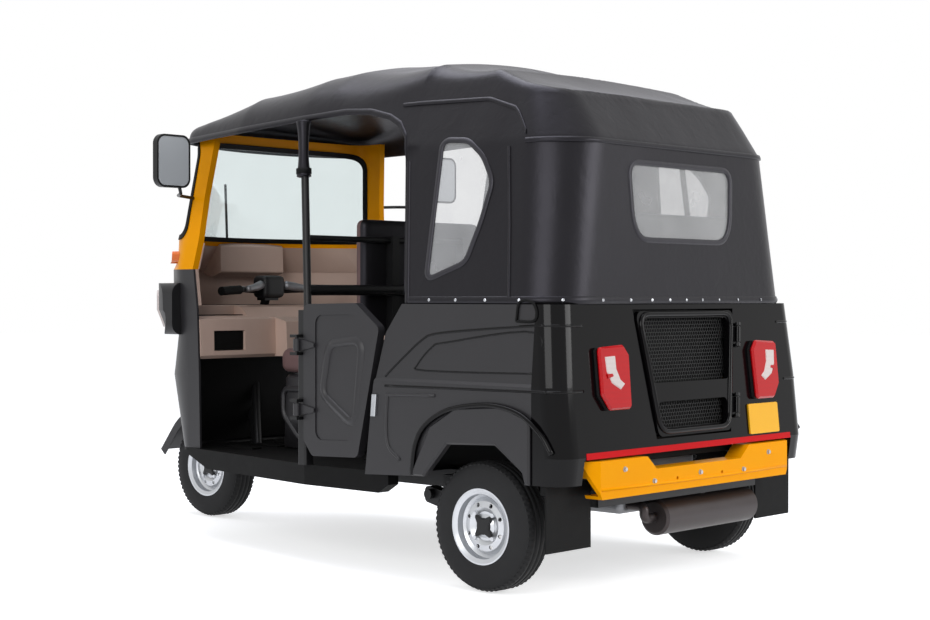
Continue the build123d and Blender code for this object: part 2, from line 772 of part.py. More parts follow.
def hatch_pins():
    """Fixed pins with a lug at each end, seated on the rear panel."""
    pins = []
    for low, high in hatch_hinges:
        pin = rod(hatch_axis_point(low - 14), hatch_axis_point(high + 14), hatch_pin_radius)
        for run in (low - 14, high + 4):
            a = Vector(*hatch_axis_point(run))
            b = Vector(*hatch_axis_point(run + 10))
            line = Plane(origin=(a + b) * 0.5, x_dir=Vector(0, 1, 0), z_dir=b - a)
            lug = line * Cylinder(hatch_knuckle_radius, 10)
            foot = line * Pos(-9, -7, 0) * Box(10, 13, 10)
            pin = pin + lug + foot
        pins.append(pin)
    return pins


def make_hatch():
    plane = rear_plane()
    face = rounded(door_trapezoid(panel_gap), 24)
    frame = extrude(plane * face, 6) + extrude(plane * face, -12)
    upper_hole = [(-205, 168), (205, 168), (228, 366), (-228, 366)]
    lower_hole = [(-172, 22), (172, 22), (187, 110), (-187, 110)]
    upper = plane * rounded(upper_hole, 22)
    lower = plane * rounded(lower_hole, 18)
    frame = frame - extrude(upper, 30, both=True) - extrude(lower, 30, both=True)
    for knuckle in hatch_knuckles():
        frame = frame + knuckle
    write("engine_hatch", frame)
    write("hatch_hinge_pins", group(hatch_pins()))
    # Crossing bars make the mesh behind both openings
    strips = Sketch()
    for lean in (40, -40):
        for index in range(-mesh_count, mesh_count + 1):
            strips += Pos(index * mesh_pitch, 196) * Rot(0, 0, lean) * Rectangle(mesh_bar, 700)
    sheets = []
    for hole, radius in ((upper_hole, 22), (lower_hole, 18)):
        outer = Sketch() + rounded(grown(hole, 7), radius)
        rim = outer - rounded(grown(hole, -3), radius - 4)
        net = (strips & outer) + rim
        sheets.append(extrude(plane * Pos(0, 0, -12 - seat_gap) * net, -3))
    write("hatch_mesh", group(sheets))


def grown(points, amount):
    """Moves a four-cornered outline's corners outward."""
    centre_y = sum(y for x, y in points) / len(points)
    return [(x + math.copysign(amount, x), y + math.copysign(amount, y - centre_y)) for x, y in points]


# Bumper, plate, lamps and flaps
bumper_bottom_z = 300
bumper_top_z = 412
bumper_middle_z = 372
bumper_hole_spacing = 240
bumper_hole_radius = 5.5
bumper_hole_z = 336


def make_bumper():
    front_view = [
        (-545, bumper_top_z), (-492, bumper_bottom_z), (492, bumper_bottom_z), (545, bumper_top_z),
        (272, bumper_top_z), (226, bumper_middle_z), (-226, bumper_middle_z), (-272, bumper_top_z),
    ]
    bar = cross_plate(front_view, -rear_overhang, 62)
    plan = [(-rear_overhang, -500), (-rear_overhang + 70, -575), (-rear_overhang + 70, 575), (-rear_overhang, 500)]
    sweep_plan = extrude(Plane.XY.offset(280) * polygon(plan), 160)
    hollow_plan = [
        (-rear_overhang + 10, -496), (-rear_overhang + 80, -566), (-rear_overhang + 80, 566), (-rear_overhang + 10, 496),
    ]
    hollow = extrude(Plane.XY.offset(310) * polygon(hollow_plan), 90 - 38)
    bumper = (bar & sweep_plan) - hollow
    arm = block(-rear_overhang + 9, -300 - seat_gap, rail_y - 20, rail_y + 20, 303, 345)
    bumper = bumper + arm + mirrored(arm)
    # Two bolt holes in the face take an accessory
    for side in (-1, 1):
        at = (-rear_overhang, side * bumper_hole_spacing / 2, bumper_hole_z)
        bumper = bumper - rod((at[0] - 5, at[1], at[2]), (at[0] + 30, at[1], at[2]), bumper_hole_radius)
    write("rear_bumper", bumper)
    plate_plane = rear_plane()
    plate = extrude(plate_plane * Pos(388, 32, 0) * RectangleRounded(172, 98, 6), 6)
    write("number_plate", Pos(-0.3, 0, 0) * plate)


lamp_inner_y = 330
lamp_outer_y = 474
lamp_low_z = 556
lamp_high_z = 748


def make_tail_lamps():
    plane = rear_plane()
    low = lamp_low_z - rear_lean_bottom[1]
    high = lamp_high_z - rear_lean_bottom[1]
    # Local x runs to the vehicle's right, so this is the right lamp
    outline = [
        (lamp_inner_y + 6, low), (lamp_outer_y - 34, low), (lamp_outer_y, low + 46),
        (lamp_outer_y, high - 6), (lamp_inner_y + 24, high), (lamp_inner_y, high - 30),
    ]
    housing = extrude(plane * rounded(outline, 14), 8)
    lens = extrude(plane * Pos(0, 0, 8 + seat_gap) * rounded(outline, 14), 15)
    lens = chamfer(lens.faces().sort_by(Axis.X)[0].edges(), 6)
    write("tail_lamp_housings", both(housing))
    write("tail_lamp_lenses", both(lens))


def make_flaps():
    flap_top_z = 345 - seat_gap
    flap = block(-288, -282, 440, 645, 150, flap_top_z)
    strap = block(-282, -266, 440, 645, 318, flap_top_z)
    write("mud_flaps", both(flap + strap))


# Canopy: three curved sheets over hoops, split where the real seams are
tail_stations = [
    (canopy_bottom_z, 628, -318, 180),
    (curtain_seam_z, 560, -298, 180),
    (seam_z, 507, -205, 150),
]
# Columns: x, half width at the seam height, shoulder z, crown z
roof_stations = [
    (-206, 507, 1514, 1512),
    (50, 507, 1596, 1600),
    (334, 507, 1641, 1662),
    (620, 515, 1643, 1704),
    (886, 521, 1645, 1698),
    (1230, 506, 1600, 1645),
    (1440, 476, 1560, 1592),
    (1700, 436, 1518, 1546),
]
side_slope = 0.36
roof_base_z = 1420
shoulder_drop = 62
shoulder_run = 96


def roof_section(x, seam_y, shoulder_z, crown_z, inset):
    drop = min(shoulder_drop, (shoulder_z - roof_base_z) * 0.6)
    wall_z = shoulder_z - drop

    def side(z):
        return seam_y - inset - side_slope * (z - seam_z)

    top = shoulder_z - inset
    corner_y = side(top)
    flat_y = corner_y - shoulder_run
    wall = (side(wall_z), wall_z)
    mid = (0.25 * wall[0] + 0.25 * flat_y + 0.5 * corner_y, 0.25 * wall[1] + 0.25 * top + 0.5 * top)
    base = (side(roof_base_z), roof_base_z)
    edges = [
        Line((x, -base[0], base[1]), (x, base[0], base[1])),
        Line((x, base[0], base[1]), (x, wall[0], wall[1])),
        ThreePointArc((x, wall[0], wall[1]), (x, mid[0], mid[1]), (x, flat_y, top)),
        ThreePointArc((x, flat_y, top), (x, 0, crown_z - inset), (x, -flat_y, top)),
        ThreePointArc((x, -flat_y, top), (x, -mid[0], mid[1]), (x, -wall[0], wall[1])),
        Line((x, -wall[0], wall[1]), (x, -base[0], base[1])),
    ]
    return make_face(Wire(edges))


def roof_solid(inset):
    faces = [roof_section(x, y, shoulder, crown, inset) for x, y, shoulder, crown in roof_stations]
    pieces = [loft([rear, front], ruled=True) for rear, front in zip(faces, faces[1:])]
    whole = pieces[0]
    for piece in pieces[1:]:
        whole = whole + piece
    return whole


def roof_plan(inset):
    """The roof's outline from above: round rear corners and a bowed front lip."""
    front = nose_section(1400, 1470, 566 - inset, 228 - inset, 100 - inset, 500)
    tail = tail_section(1400, 566 - inset, -205 + inset, 190 - inset, 1000)
    return extrude(front, 400, dir=(0, 0, 1)) + extrude(tail, 400, dir=(0, 0, 1))


side_opening = [
    (300, 700), (306, canopy_bottom_z - 4), (398, 1310), (424, 1392), (492, 1444), (600, 1466),
    (880, 1487), (1320, 1470), (1420, 1458), (1700, 1448), (1760, 700),
]
quarter_window = [(212, 950), (199, 1369), (100, 1362), (34, 1312), (-12, 1236), (20, 1118), (66, 1000)]
window_lip = 14


def opening_prism():
    return side_plate(side_opening, 800, 1600)


def window_prism(grow):
    centre_x = sum(x for x, z in quarter_window) / len(quarter_window)
    centre_z = sum(z for x, z in quarter_window) / len(quarter_window)
    points = []
    for x, z in quarter_window:
        run = math.hypot(x - centre_x, z - centre_z)
        points.append((x + grow * (x - centre_x) / run, z + grow * (z - centre_z) / run))
    return side_plate(points, 800, 1600, 16)


def rear_window_prism(grow):
    points = [
        (-218 - grow, 1070 - grow), (218 + grow, 1070 - grow), (252 + grow, 1120), (264 + grow, 1292 + grow),
        (-264 - grow, 1292 + grow), (-252 - grow, 1120),
    ]
    return cross_plate(points, -400, 250, 24)


def make_canopy():
    shell = tail_solid(tail_stations, 0, canopy_split_x) - tail_solid(tail_stations, canopy_wall, canopy_split_x + 30)
    shell = shell - opening_prism() - window_prism(0) - rear_window_prism(0)
    rear_room = block(-600, -118, -900, 900, 800, seam_z + 5)
    curtain = shell & rear_room
    side = shell - rear_room
    left = side & block(-200, 700, 0, 900, 800, 1600)
    write("canopy_rear", curtain)
    write("canopy_side_left", left)
    write("canopy_side_right", mirrored(left))
    roof = (roof_solid(0) & roof_plan(0)) - (roof_solid(canopy_wall) & roof_plan(canopy_wall))
    roof = roof - block(-600, canopy_split_x, -900, 900, 1300, seam_z)
    roof = roof - opening_prism() - block(canopy_split_x, 2000, -900, 900, 1300, 1448)
    write("canopy_roof", roof)
    # Clear plastic panes sit in the openings
    panes = tail_solid(tail_stations, 2, canopy_split_x) - tail_solid(tail_stations, 5, canopy_split_x + 30)
    side_panes = panes & window_prism(-seat_gap) & block(-200, 700, 0, 900, 800, 1600)
    rear_pane = panes & rear_window_prism(-seat_gap)
    write("canopy_windows", group([side_panes, mirrored(side_panes), rear_pane]))


# Hoops hold the canopy up. Columns: x, half width at the foot, half width at the top, top z
hoops = [(318, 598, 460, 1618), (50, 598, 452, 1574)]
hoop_radius = 10


def make_hoops():
    bows = []
    for x, foot_y, top_y, top_z in hoops:
        path = [
            (x, foot_y, deck_z + seat_gap), (x, foot_y - 4, side_top_z - 20),
            (x, top_y + 12, top_z - 90), (x, top_y - 90, top_z),
            (x, -top_y + 90, top_z), (x, -top_y - 12, top_z - 90),
            (x, -foot_y + 4, side_top_z - 20), (x, -foot_y, deck_z + seat_gap),
        ]
        bows.append(tube_path(path, 60, hoop_radius))
    write("canopy_hoops", group(bows))


# Door posts, the bars behind the driver and the rolled curtain straps
post_foot = (772, 606, 846)
post_top = (857, 546, 1484)
post_radius = 13


def make_posts():
    pillar = block(757, 797, 590, 630, floor_z, 846)
    pillar = fillet(pillar.edges().filter_by(Axis.Z), 8)
    post = rod(post_foot, post_top, post_radius)
    side = pillar + post
    posts = side + mirrored(side)
    bar_low_z = 912
    bar_high_z = 1086

    def post_at(z):
        share = (z - post_foot[2]) / (post_top[2] - post_foot[2])
        x = post_foot[0] + share * (post_top[0] - post_foot[0])
        y = post_foot[1] + share * (post_top[1] - post_foot[1])
        return x, y

    for z, radius in ((bar_low_z, 18), (bar_high_z, 10)):
        x, y = post_at(z)
        posts = posts + rod((x, -y, z), (x, y, z), radius)
    # Two uprights carry the backrest
    for y in (-180, 180):
        posts = posts + block(784, backrest_rear_x - seat_gap, y - 16, y + 16, 752, 1100)
        posts = posts + block(784, 800, y - 16, y + 16, 700, 753)
    beam = block(764, 796, -595, 595, 700, 740)
    posts = posts + beam
    write("door_posts", posts)


# Side doors
door_outline = [(747, 866), (500, 870), (394, 792), (492, 378), (706, 370), (747, 420)]
hinge_heights = [(500, 540), (712, 752)]


def make_doors():
    panel = side_plate(door_outline, door_outer_y, door_wall, 22)
    recess = side_plate([(690, 830), (520, 834), (440, 776), (520, 430), (690, 424)], door_outer_y + 5, 9, 30)
    panel = panel - recess
    for low, high in hinge_heights:
        leaf = side_plate(
            [(hinge_axis_x - 2, low), (hinge_axis_x - 2, high), (690, (low + high) / 2 + 6), (690, (low + high) / 2 - 6)],
            door_outer_y + 7, 8)
        barrel = rod((hinge_axis_x, hinge_axis_y, low), (hinge_axis_x, hinge_axis_y, high), hinge_pin_radius + 6)
        bore = rod((hinge_axis_x, hinge_axis_y, low - 5), (hinge_axis_x, hinge_axis_y, high + 5),
                   hinge_pin_radius + running_clearance)
        panel = panel + leaf + barrel - bore
    write("door_left", panel)
    write("door_right", mirrored(panel))
    pins = []
    for low, high in hinge_heights:
        pin = rod((hinge_axis_x, hinge_axis_y, low - 14), (hinge_axis_x, hinge_axis_y, high + 14), hinge_pin_radius)
        for z in (low - 14, high + 4):
            lug = block(hinge_axis_x - 8, hinge_axis_x + 26, 630, hinge_axis_y + 8, z, z + 10)
            pin = pin + lug
        pins.append(pin)
    write("door_hinge_pins", group(pins + [mirrored(pin) for pin in pins]))
    catch = block(398, 428, 600, 628 - seat_gap, 560, 640)
    write("door_catches", both(catch))


# Lamps, indicators, mirrors and wiper at the front
def make_front_fittings():
    lamp_plane = Plane(origin=(1600, 412, 845), x_dir=(0, 1, 0), z_dir=(1, 0, 0))
    bowl = extrude(lamp_plane * RectangleRounded(232, 190, 40), 330)
    skin = nose_solid(apron_stations, -56, 100) - nose_solid(apron_stations, seat_gap * -1, 110)
    shell = bowl & skin
    write("headlamp_housings", both(shell))
    lens_cut = extrude(lamp_plane * Pos(-20, 0, 60) * RectangleRounded(150, 140, 30), 330)
    lens_skin = nose_solid(apron_stations, -64, 100) - nose_solid(apron_stations, -56 - seat_gap, 110)
    write("headlamp_lenses", both(lens_cut & lens_skin))
    blinker_plane = Plane(origin=(1610, 436, 1036), x_dir=(0, 1, 0), z_dir=(1, 0, 0))
    blinker = extrude(blinker_plane * RectangleRounded(80, 46, 18), 300)
    ring = nose_solid(screen_stations, -24, 100) - nose_solid(screen_stations, -seat_gap, 110)
    write("indicators", both(blinker & ring))
    # Mirrors stand out on bent arms from the door pillars
    mirror_x = 1377
    mirror_y = 690
    mirror_z = 1366
    back = Plane(origin=(mirror_x, mirror_y, mirror_z), x_dir=(0, 1, 0), z_dir=(1, 0, 0))
    case = extrude(back * RectangleRounded(146, 186, 34), 34)
    case = chamfer(case.faces().sort_by(Axis.X)[-1].edges(), 10)
    well = extrude(back * RectangleRounded(132, 172, 28), 4)
    arm = tube_path(
        [
            (1558, 463.2, 1252), (1520, 560, 1256),
            (mirror_x + 20, mirror_y - 46, mirror_z - 112), (mirror_x + 18, mirror_y - 30, mirror_z - 60),
        ],
        18, 6)
    write("mirror_arms", both(case - well + arm))
    glass = extrude(back * Pos(0, 0, 1) * RectangleRounded(131.4, 171.4, 27.7), 2.7)
    write("mirror_glass", both(glass))
    pivot_y = 60
    tip_y = 190
    low = (front_x(screen_stations, 1084, pivot_y) + 14, pivot_y, 1084)
    high = (front_x(screen_stations, 1320, tip_y) + 14, tip_y, 1320)
    arm = rod(low, high, 5)
    seat_x = front_x(screen_stations, 1084 - 11, pivot_y) + 0.6
    boss = rod((seat_x, pivot_y, 1084), (low[0] + 4, pivot_y, 1084), 11)
    write("wiper", arm + boss)


make_wheels()
make_rear_suspension()
make_engine()
make_frame()
make_floor()
make_front()
make_dash()
make_steering()
make_mudguard()
make_handlebar()
make_seats()
make_side_panels()
make_rear_panel()
make_hatch()
make_bumper()
make_tail_lamps()
make_flaps()
make_canopy()
make_hoops()
make_posts()
make_doors()
make_front_fittings()
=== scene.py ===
# %% [markdown]
# # Auto rickshaw with a soft canopy
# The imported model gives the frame, the body panels and every moving part.
# This script dresses it: cloth, padding, tread, stitching, small fittings,
# paint and plastic, then the light and the camera.

# %% Load the frame
import bpy
import bmesh
import math
import numpy as np
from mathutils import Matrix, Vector, noise


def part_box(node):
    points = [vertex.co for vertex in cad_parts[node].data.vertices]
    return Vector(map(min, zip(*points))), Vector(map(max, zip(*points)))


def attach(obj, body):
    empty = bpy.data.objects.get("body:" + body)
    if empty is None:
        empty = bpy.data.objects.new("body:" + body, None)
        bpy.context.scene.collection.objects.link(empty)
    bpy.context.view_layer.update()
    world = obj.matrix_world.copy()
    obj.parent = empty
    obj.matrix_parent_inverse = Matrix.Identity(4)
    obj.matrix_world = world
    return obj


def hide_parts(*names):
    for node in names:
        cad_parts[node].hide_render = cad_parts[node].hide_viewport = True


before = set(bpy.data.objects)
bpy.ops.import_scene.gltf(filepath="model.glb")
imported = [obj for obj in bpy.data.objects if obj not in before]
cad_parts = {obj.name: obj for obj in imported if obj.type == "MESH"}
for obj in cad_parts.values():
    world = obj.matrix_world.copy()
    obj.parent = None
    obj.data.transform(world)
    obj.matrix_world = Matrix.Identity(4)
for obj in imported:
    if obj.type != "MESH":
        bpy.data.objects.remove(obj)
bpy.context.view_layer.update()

# %% [markdown]
# ## Where things are
# Every size below is in millimetres from the rear axle, as a body builder
# would write it. One function turns such a place into scene metres. The rear
# axle is read from the frame, so nothing has to be fitted by eye.

# %% Places
rear_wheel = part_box("wheel_rear_left")
rear_axle = (rear_wheel[0][0] + rear_wheel[1][0]) / 2


def place(x, y, z):
    return Vector((x / 1000 + rear_axle, y / 1000, z / 1000))


def new_object(name, data):
    made = bpy.data.objects.new(name, data)
    bpy.context.scene.collection.objects.link(made)
    return made


def shade_smooth(mesh, smooth=True):
    mesh.polygons.foreach_set("use_smooth", [smooth] * len(mesh.polygons))


def new_mesh(name, points, faces, smooth=True):
    mesh = bpy.data.meshes.new(name)
    mesh.from_pydata([tuple(p) for p in points], [], [tuple(f) for f in faces])
    mesh.update()
    shade_smooth(mesh, smooth)
    return new_object(name, mesh)


def settle(piece):
    """Turns the piece's modifiers into plain mesh."""
    graph = bpy.context.evaluated_depsgraph_get()
    mesh = bpy.data.meshes.new_from_object(piece.evaluated_get(graph))
    piece.modifiers.clear()
    old = piece.data
    piece.data = mesh
    mesh.name = old.name
    return piece


def face_outward(piece):
    """Makes all faces of a piece agree, and point outwards where it is closed."""
    build = bmesh.new()
    build.from_mesh(piece.data)
    bmesh.ops.recalc_face_normals(build, faces=build.faces)
    build.to_mesh(piece.data)
    build.free()
    return piece


print("rear axle at", round(rear_axle, 4))

# %% [markdown]
# ## Materials
# Each finish is a small node tree on a Principled shader. Colours are written
# as sRGB hex values and turned to linear once. Patterns use Object
# coordinates, which are metres here, so a grain of 1 mm has a scale of 1000.

# %% Material helpers
def linear(code):
    values = [int(code[i:i + 2], 16) / 255 for i in (1, 3, 5)]
    return tuple(v / 12.92 if v <= 0.04045 else ((v + 0.055) / 1.055) ** 2.4 for v in values) + (1.0,)


def add(tree, kind, inputs=None, **settings):
    """Adds a node. An input takes a value or another node's output."""
    made = tree.nodes.new(kind)
    for key, value in settings.items():
        setattr(made, key, value)
    for key, value in (inputs or {}).items():
        if isinstance(value, bpy.types.NodeSocket):
            tree.links.new(value, made.inputs[key])
        else:
            made.inputs[key].default_value = value
    return made


def new_finish(name):
    material = bpy.data.materials.new(name)
    material.use_nodes = True
    material.node_tree.nodes.clear()
    return material, material.node_tree


def show(tree, shader):
    add(tree, "ShaderNodeOutputMaterial", {"Surface": shader.outputs[0]})


def two_tones(tree, factor, tone, other):
    """Mixes two close tones by a pattern."""
    colour = add(tree, "ShaderNodeMix", {"Factor": factor}, data_type="RGBA")
    colour.inputs["A"].default_value = linear(tone)
    colour.inputs["B"].default_value = linear(other)
    return colour.outputs["Result"]


def moulded(name, tone, other, roughness, spread, patch, grain, relief, **shader_values):
    """Two close tones in soft patches and a fine grain. patch and grain are sizes in mm."""
    material, tree = new_finish(name)
    where = add(tree, "ShaderNodeTexCoord").outputs["Object"]
    clouds = add(tree, "ShaderNodeTexNoise", {"Vector": where, "Scale": 1000 / patch, "Detail": 3.0})
    colour = two_tones(tree, clouds.outputs["Fac"], tone, other)
    rough = add(tree, "ShaderNodeMapRange", {"Value": clouds.outputs["Fac"],
                "To Min": roughness - spread, "To Max": roughness + spread})
    fine = add(tree, "ShaderNodeTexNoise", {"Vector": where, "Scale": 1000 / grain, "Detail": 2.0})
    bump = add(tree, "ShaderNodeBump", {"Height": fine.outputs["Fac"], "Strength": 0.6,
               "Distance": relief / 1000})
    values = {"Base Color": colour, "Roughness": rough.outputs["Result"],
              "Normal": bump.outputs["Normal"]}
    values.update({key.replace("_", " "): value for key, value in shader_values.items()})
    show(tree, add(tree, "ShaderNodeBsdfPrincipled", values))
    return material


# %% [markdown]
# ### Painted, moulded and bare finishes
# One table holds the plain finishes. The columns are two close tones, the
# roughness and how much it varies, the size of the soft patches, and the
# grain with its depth, all in mm. Gloss paint has long, shallow grain, which
# reads as orange peel. Moulded plastic has short, deeper grain.

# %% The table of plain finishes
finishes = {}
plain_finishes = [
    # name, tone, other tone, roughness, spread, patch mm, grain mm, relief mm, shader values
    ("enamel_marigold", "#FFA400", "#FFAA04", 0.30, 0.04, 90, 6, 0.010, {"Specular_IOR_Level": 0.06}),
    ("painted_charcoal_steel", "#262527", "#2A292B", 0.40, 0.05, 140, 3, 0.030, {"Specular_IOR_Level": 0.35}),
    ("enamel_gloss_black", "#070607", "#09080A", 0.11, 0.03, 120, 9, 0.012, {"Specular_IOR_Level": 0.16}),
    ("chassis_black_steel", "#0E0E0F", "#131314", 0.42, 0.08, 60, 4, 0.040, {"Specular_IOR_Level": 0.3}),
    ("polypropylene_black", "#131314", "#181819", 0.52, 0.05, 40, 1.2, 0.060, {"Specular_IOR_Level": 0.35}),
    ("polypropylene_taupe", "#C4A899", "#CCB1A2", 0.55, 0.05, 60, 1.2, 0.060, {}),
    ("rubber_moulded", "#080808", "#0C0C0C", 0.62, 0.06, 30, 2, 0.050, {"Specular_IOR_Level": 0.12}),
    # Near black, darker than real rubber: the cab floor's own black deepened as painted shade, and the same
    # near black as painted shade in the dash pockets, the engine bay and the footwell
    ("floor_mat_rubber", "#040404", "#070707", 0.60, 0.06, 30, 2, 0.050, {"Specular_IOR_Level": 0.12}),
    ("tyre_rubber", "#131314", "#181819", 0.70, 0.06, 25, 1.5, 0.080, {"Specular_IOR_Level": 0.3}),
    ("wheel_silver_lacquer", "#BFC1C4", "#C8CACD", 0.33, 0.05, 30, 3, 0.020, {"Metallic": 0.75}),
    ("cast_aluminium", "#7E7F82", "#8B8C8F", 0.50, 0.08, 30, 2, 0.080, {"Metallic": 0.8}),
    ("aluminised_exhaust_steel", "#3B3535", "#454040", 0.42, 0.08, 50, 3, 0.040, {"Metallic": 0.7}),
    ("zinc_plated_steel", "#A5A7AA", "#B3B5B8", 0.30, 0.06, 15, 2, 0.020, {"Metallic": 0.9}),
    ("reflective_tape_red", "#C4000C", "#CC0612", 0.35, 0.05, 12, 3, 0.020, {"Specular_IOR_Level": 0.12}),
    # The mirror is pale grey and mostly diffuse, with little metal: its brightness is a painted reflection of
    # the white studio
    ("mirror_silvered_glass", "#C4C8CA", "#CDD0D2", 0.22, 0.02, 200, 40, 0.002, {"Metallic": 0.3}),
    ("plate_blank_yellow", "#F6B300", "#F8B806", 0.34, 0.03, 60, 4, 0.010, {}),
]
for name, tone, other, rough, spread, patch, grain, relief, extra in plain_finishes:
    finishes[name] = moulded(name, tone, other, rough, spread, patch, grain, relief, **extra)
print(len(finishes), "plain finishes")

# %% [markdown]
# ### Coated cloth
# The canopy is PVC-coated cloth. Its surface is a fine grain of small cells,
# about 2.4 mm wide on the canopy, with broad, shallow creases over it.
# The coating has a soft blue-grey shine where it is lit from above.

# %% Canopy cloth
def coated_cloth(name, tone, other, roughness, grain):
    material, tree = new_finish(name)
    where = add(tree, "ShaderNodeTexCoord").outputs["Object"]
    clouds = add(tree, "ShaderNodeTexNoise", {"Vector": where, "Scale": 5.0, "Detail": 4.0})
    colour = two_tones(tree, clouds.outputs["Fac"], tone, other)
    cells = add(tree, "ShaderNodeTexVoronoi", {"Vector": where, "Scale": 1000 / grain})
    creases = add(tree, "ShaderNodeTexNoise", {"Vector": where, "Scale": 22.0, "Detail": 3.0,
                  "Distortion": 0.6})
    fine = add(tree, "ShaderNodeBump", {"Height": cells.outputs["Distance"], "Strength": 0.35,
               "Distance": 0.0003})
    broad = add(tree, "ShaderNodeBump", {"Height": creases.outputs["Fac"], "Strength": 0.25,
                "Distance": 0.004, "Normal": fine.outputs["Normal"]})
    rough = add(tree, "ShaderNodeMapRange", {"Value": clouds.outputs["Fac"],
                "To Min": roughness - 0.04, "To Max": roughness + 0.05})
    show(tree, add(tree, "ShaderNodeBsdfPrincipled", {
        "Base Color": colour, "Roughness": rough.outputs["Result"],
        "Normal": broad.outputs["Normal"], "Specular IOR Level": 0.27, "Specular Tint": linear("#E9E6F6"),
        "Sheen Weight": 0.12, "Sheen Roughness": 0.25, "Sheen Tint": linear("#A9A8C4")}))
    return material


for name, tone, other, roughness, grain in (
        ("pvc_coated_cloth", "#0F0E0F", "#131213", 0.36, 2.4),
        ("pvc_welded_border", "#2B2A2C", "#333235", 0.34, 2.4),
        ("seat_vinyl_black", "#151415", "#1A191B", 0.42, 2.0),
        ("seat_vinyl_mauve", "#6A5250", "#735A57", 0.48, 2.0)):
    finishes[name] = coated_cloth(name, tone, other, roughness, grain)
print(len(finishes), "finishes with the cloths")

# %% [markdown]
# ### Clear finishes
# The windscreen is thin glass. A refracting shader on a 5 mm shell would bend
# the view like a lens, so a mix of a clear shader and a little gloss stands in
# for it. The canopy windows are the same with milky haze, as old clear vinyl has.

# %% Glass, clear vinyl and lamp lenses
def clear_sheet(name, tint, gloss, haze, haze_tone):
    material, tree = new_finish(name)
    where = add(tree, "ShaderNodeTexCoord").outputs["Object"]
    waves = add(tree, "ShaderNodeTexNoise", {"Vector": where, "Scale": 9.0, "Detail": 2.0})
    bump = add(tree, "ShaderNodeBump", {"Height": waves.outputs["Fac"], "Strength": 0.06, "Distance": 0.002})
    clear = add(tree, "ShaderNodeBsdfTransparent", {"Color": linear(tint)})
    shine = add(tree, "ShaderNodeBsdfGlossy", {"Color": (1, 1, 1, 1), "Roughness": gloss,
                "Normal": bump.outputs["Normal"]})
    edge = add(tree, "ShaderNodeFresnel", {"IOR": 1.2})
    edge = add(tree, "ShaderNodeMath", {0: edge.outputs["Fac"], 1: 0.4}, operation="MULTIPLY")
    glazed = add(tree, "ShaderNodeMixShader", {"Fac": edge.outputs[0], 1: clear.outputs[0],
                 2: shine.outputs[0]})
    milk = add(tree, "ShaderNodeBsdfDiffuse", {"Color": linear(haze_tone)})
    cloudy = add(tree, "ShaderNodeMapRange", {"Value": waves.outputs["Fac"], "To Min": haze * 0.7,
                 "To Max": haze * 1.3})
    show(tree, add(tree, "ShaderNodeMixShader", {"Fac": cloudy.outputs["Result"],
                   1: glazed.outputs[0], 2: milk.outputs[0]}))
    return material


finishes["float_glass"] = clear_sheet("float_glass", "#F1F6F6", 0.02, 0.05, "#DCE6E6")
finishes["clear_vinyl"] = clear_sheet("clear_vinyl", "#F8F8F8", 0.10, 0.26, "#E4E4E4")

# A larger value widens the ribs.
rib_scale = 6.28


def lens(name, tone, ribs):
    """Moulded acrylic with ribs inside that glitter, and a faint glow in its own tone that is painted light.
    A larger value of ribs gives wider ribs.
    """
    material, tree = new_finish(name)
    where = add(tree, "ShaderNodeTexCoord").outputs["Object"]
    wave = add(tree, "ShaderNodeTexWave", {"Vector": where, "Scale": 1000 / ribs / rib_scale,
               "Distortion": 0.5}, bands_direction="Z")
    bump = add(tree, "ShaderNodeBump", {"Height": wave.outputs["Fac"], "Strength": 0.4, "Distance": 0.001})
    # The emission in the lens's own tone is a painted glow, as the lamps are not lit
    show(tree, add(tree, "ShaderNodeBsdfPrincipled", {
        "Base Color": linear(tone), "Roughness": 0.10, "Normal": bump.outputs["Normal"],
        "Specular IOR Level": 0.35, "Emission Color": linear(tone), "Emission Strength": 0.12}))
    return material


for name, tone, ribs in (("acrylic_red", "#B4000A", 9), ("acrylic_clear", "#CFC4C0", 7),
                         ("acrylic_amber", "#D9660A", 6)):
    finishes[name] = lens(name, tone, ribs)
print("finishes:", ", ".join(sorted(finishes)))

# %% [markdown]
# ## Dress the panels
# The hard panels keep the shape that the frame gives them. Each one only gets the finish that its real
# material has, except that the floor's black is deepened as painted shade and the mirror's pale grey is a
# painted reflection.

# %% Which panel has which finish
panel_finish = {
    "enamel_marigold": ["front_upper_panel", "rear_bumper"],
    "painted_charcoal_steel": ["side_panel_left", "side_panel_right", "door_left", "door_right",
                               "driver_seat_box", "front_apron", "front_mudguard"],
    "floor_mat_rubber": ["floor_pan"],
    "enamel_gloss_black": ["rear_panel", "engine_hatch"],
    "chassis_black_steel": ["chassis_frame", "door_posts", "canopy_hoops", "front_fork", "rear_arms",
                            "engine_bay_cover", "handlebar", "mirror_arms", "door_hinge_pins",
                            "hatch_hinge_pins", "door_catches", "front_damper", "rear_dampers"],
    "polypropylene_black": ["headlamp_housings", "wiper", "tail_lamp_housings"],
    "polypropylene_taupe": ["dash_liner", "dash_tray", "instrument_pod"],
    "rubber_moulded": ["windscreen_seal", "mud_flaps", "handlebar_grips"],
    "wheel_silver_lacquer": ["wheel_front", "wheel_rear_left", "wheel_rear_right"],
    "cast_aluminium": ["engine_block", "drive_shafts"],
    "aluminised_exhaust_steel": ["silencer"],
    "mirror_silvered_glass": ["mirror_glass"],
    "plate_blank_yellow": ["number_plate"],
    "float_glass": ["windscreen"],
    "acrylic_red": ["tail_lamp_lenses"],
    "acrylic_clear": ["headlamp_lenses"],
    "acrylic_amber": ["indicators"],
}


def dress(piece, finish):
    piece.data.materials.clear()
    piece.data.materials.append(finishes[finish])


def fasten(piece, finish, body="root"):
    """Gives a piece its finish and the body that it moves with."""
    dress(piece, finish)
    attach(piece, body)


for finish, panels in panel_finish.items():
    for panel in panels:
        dress(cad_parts[panel], finish)
print(sum(len(panels) for panels in panel_finish.values()), "panels dressed")


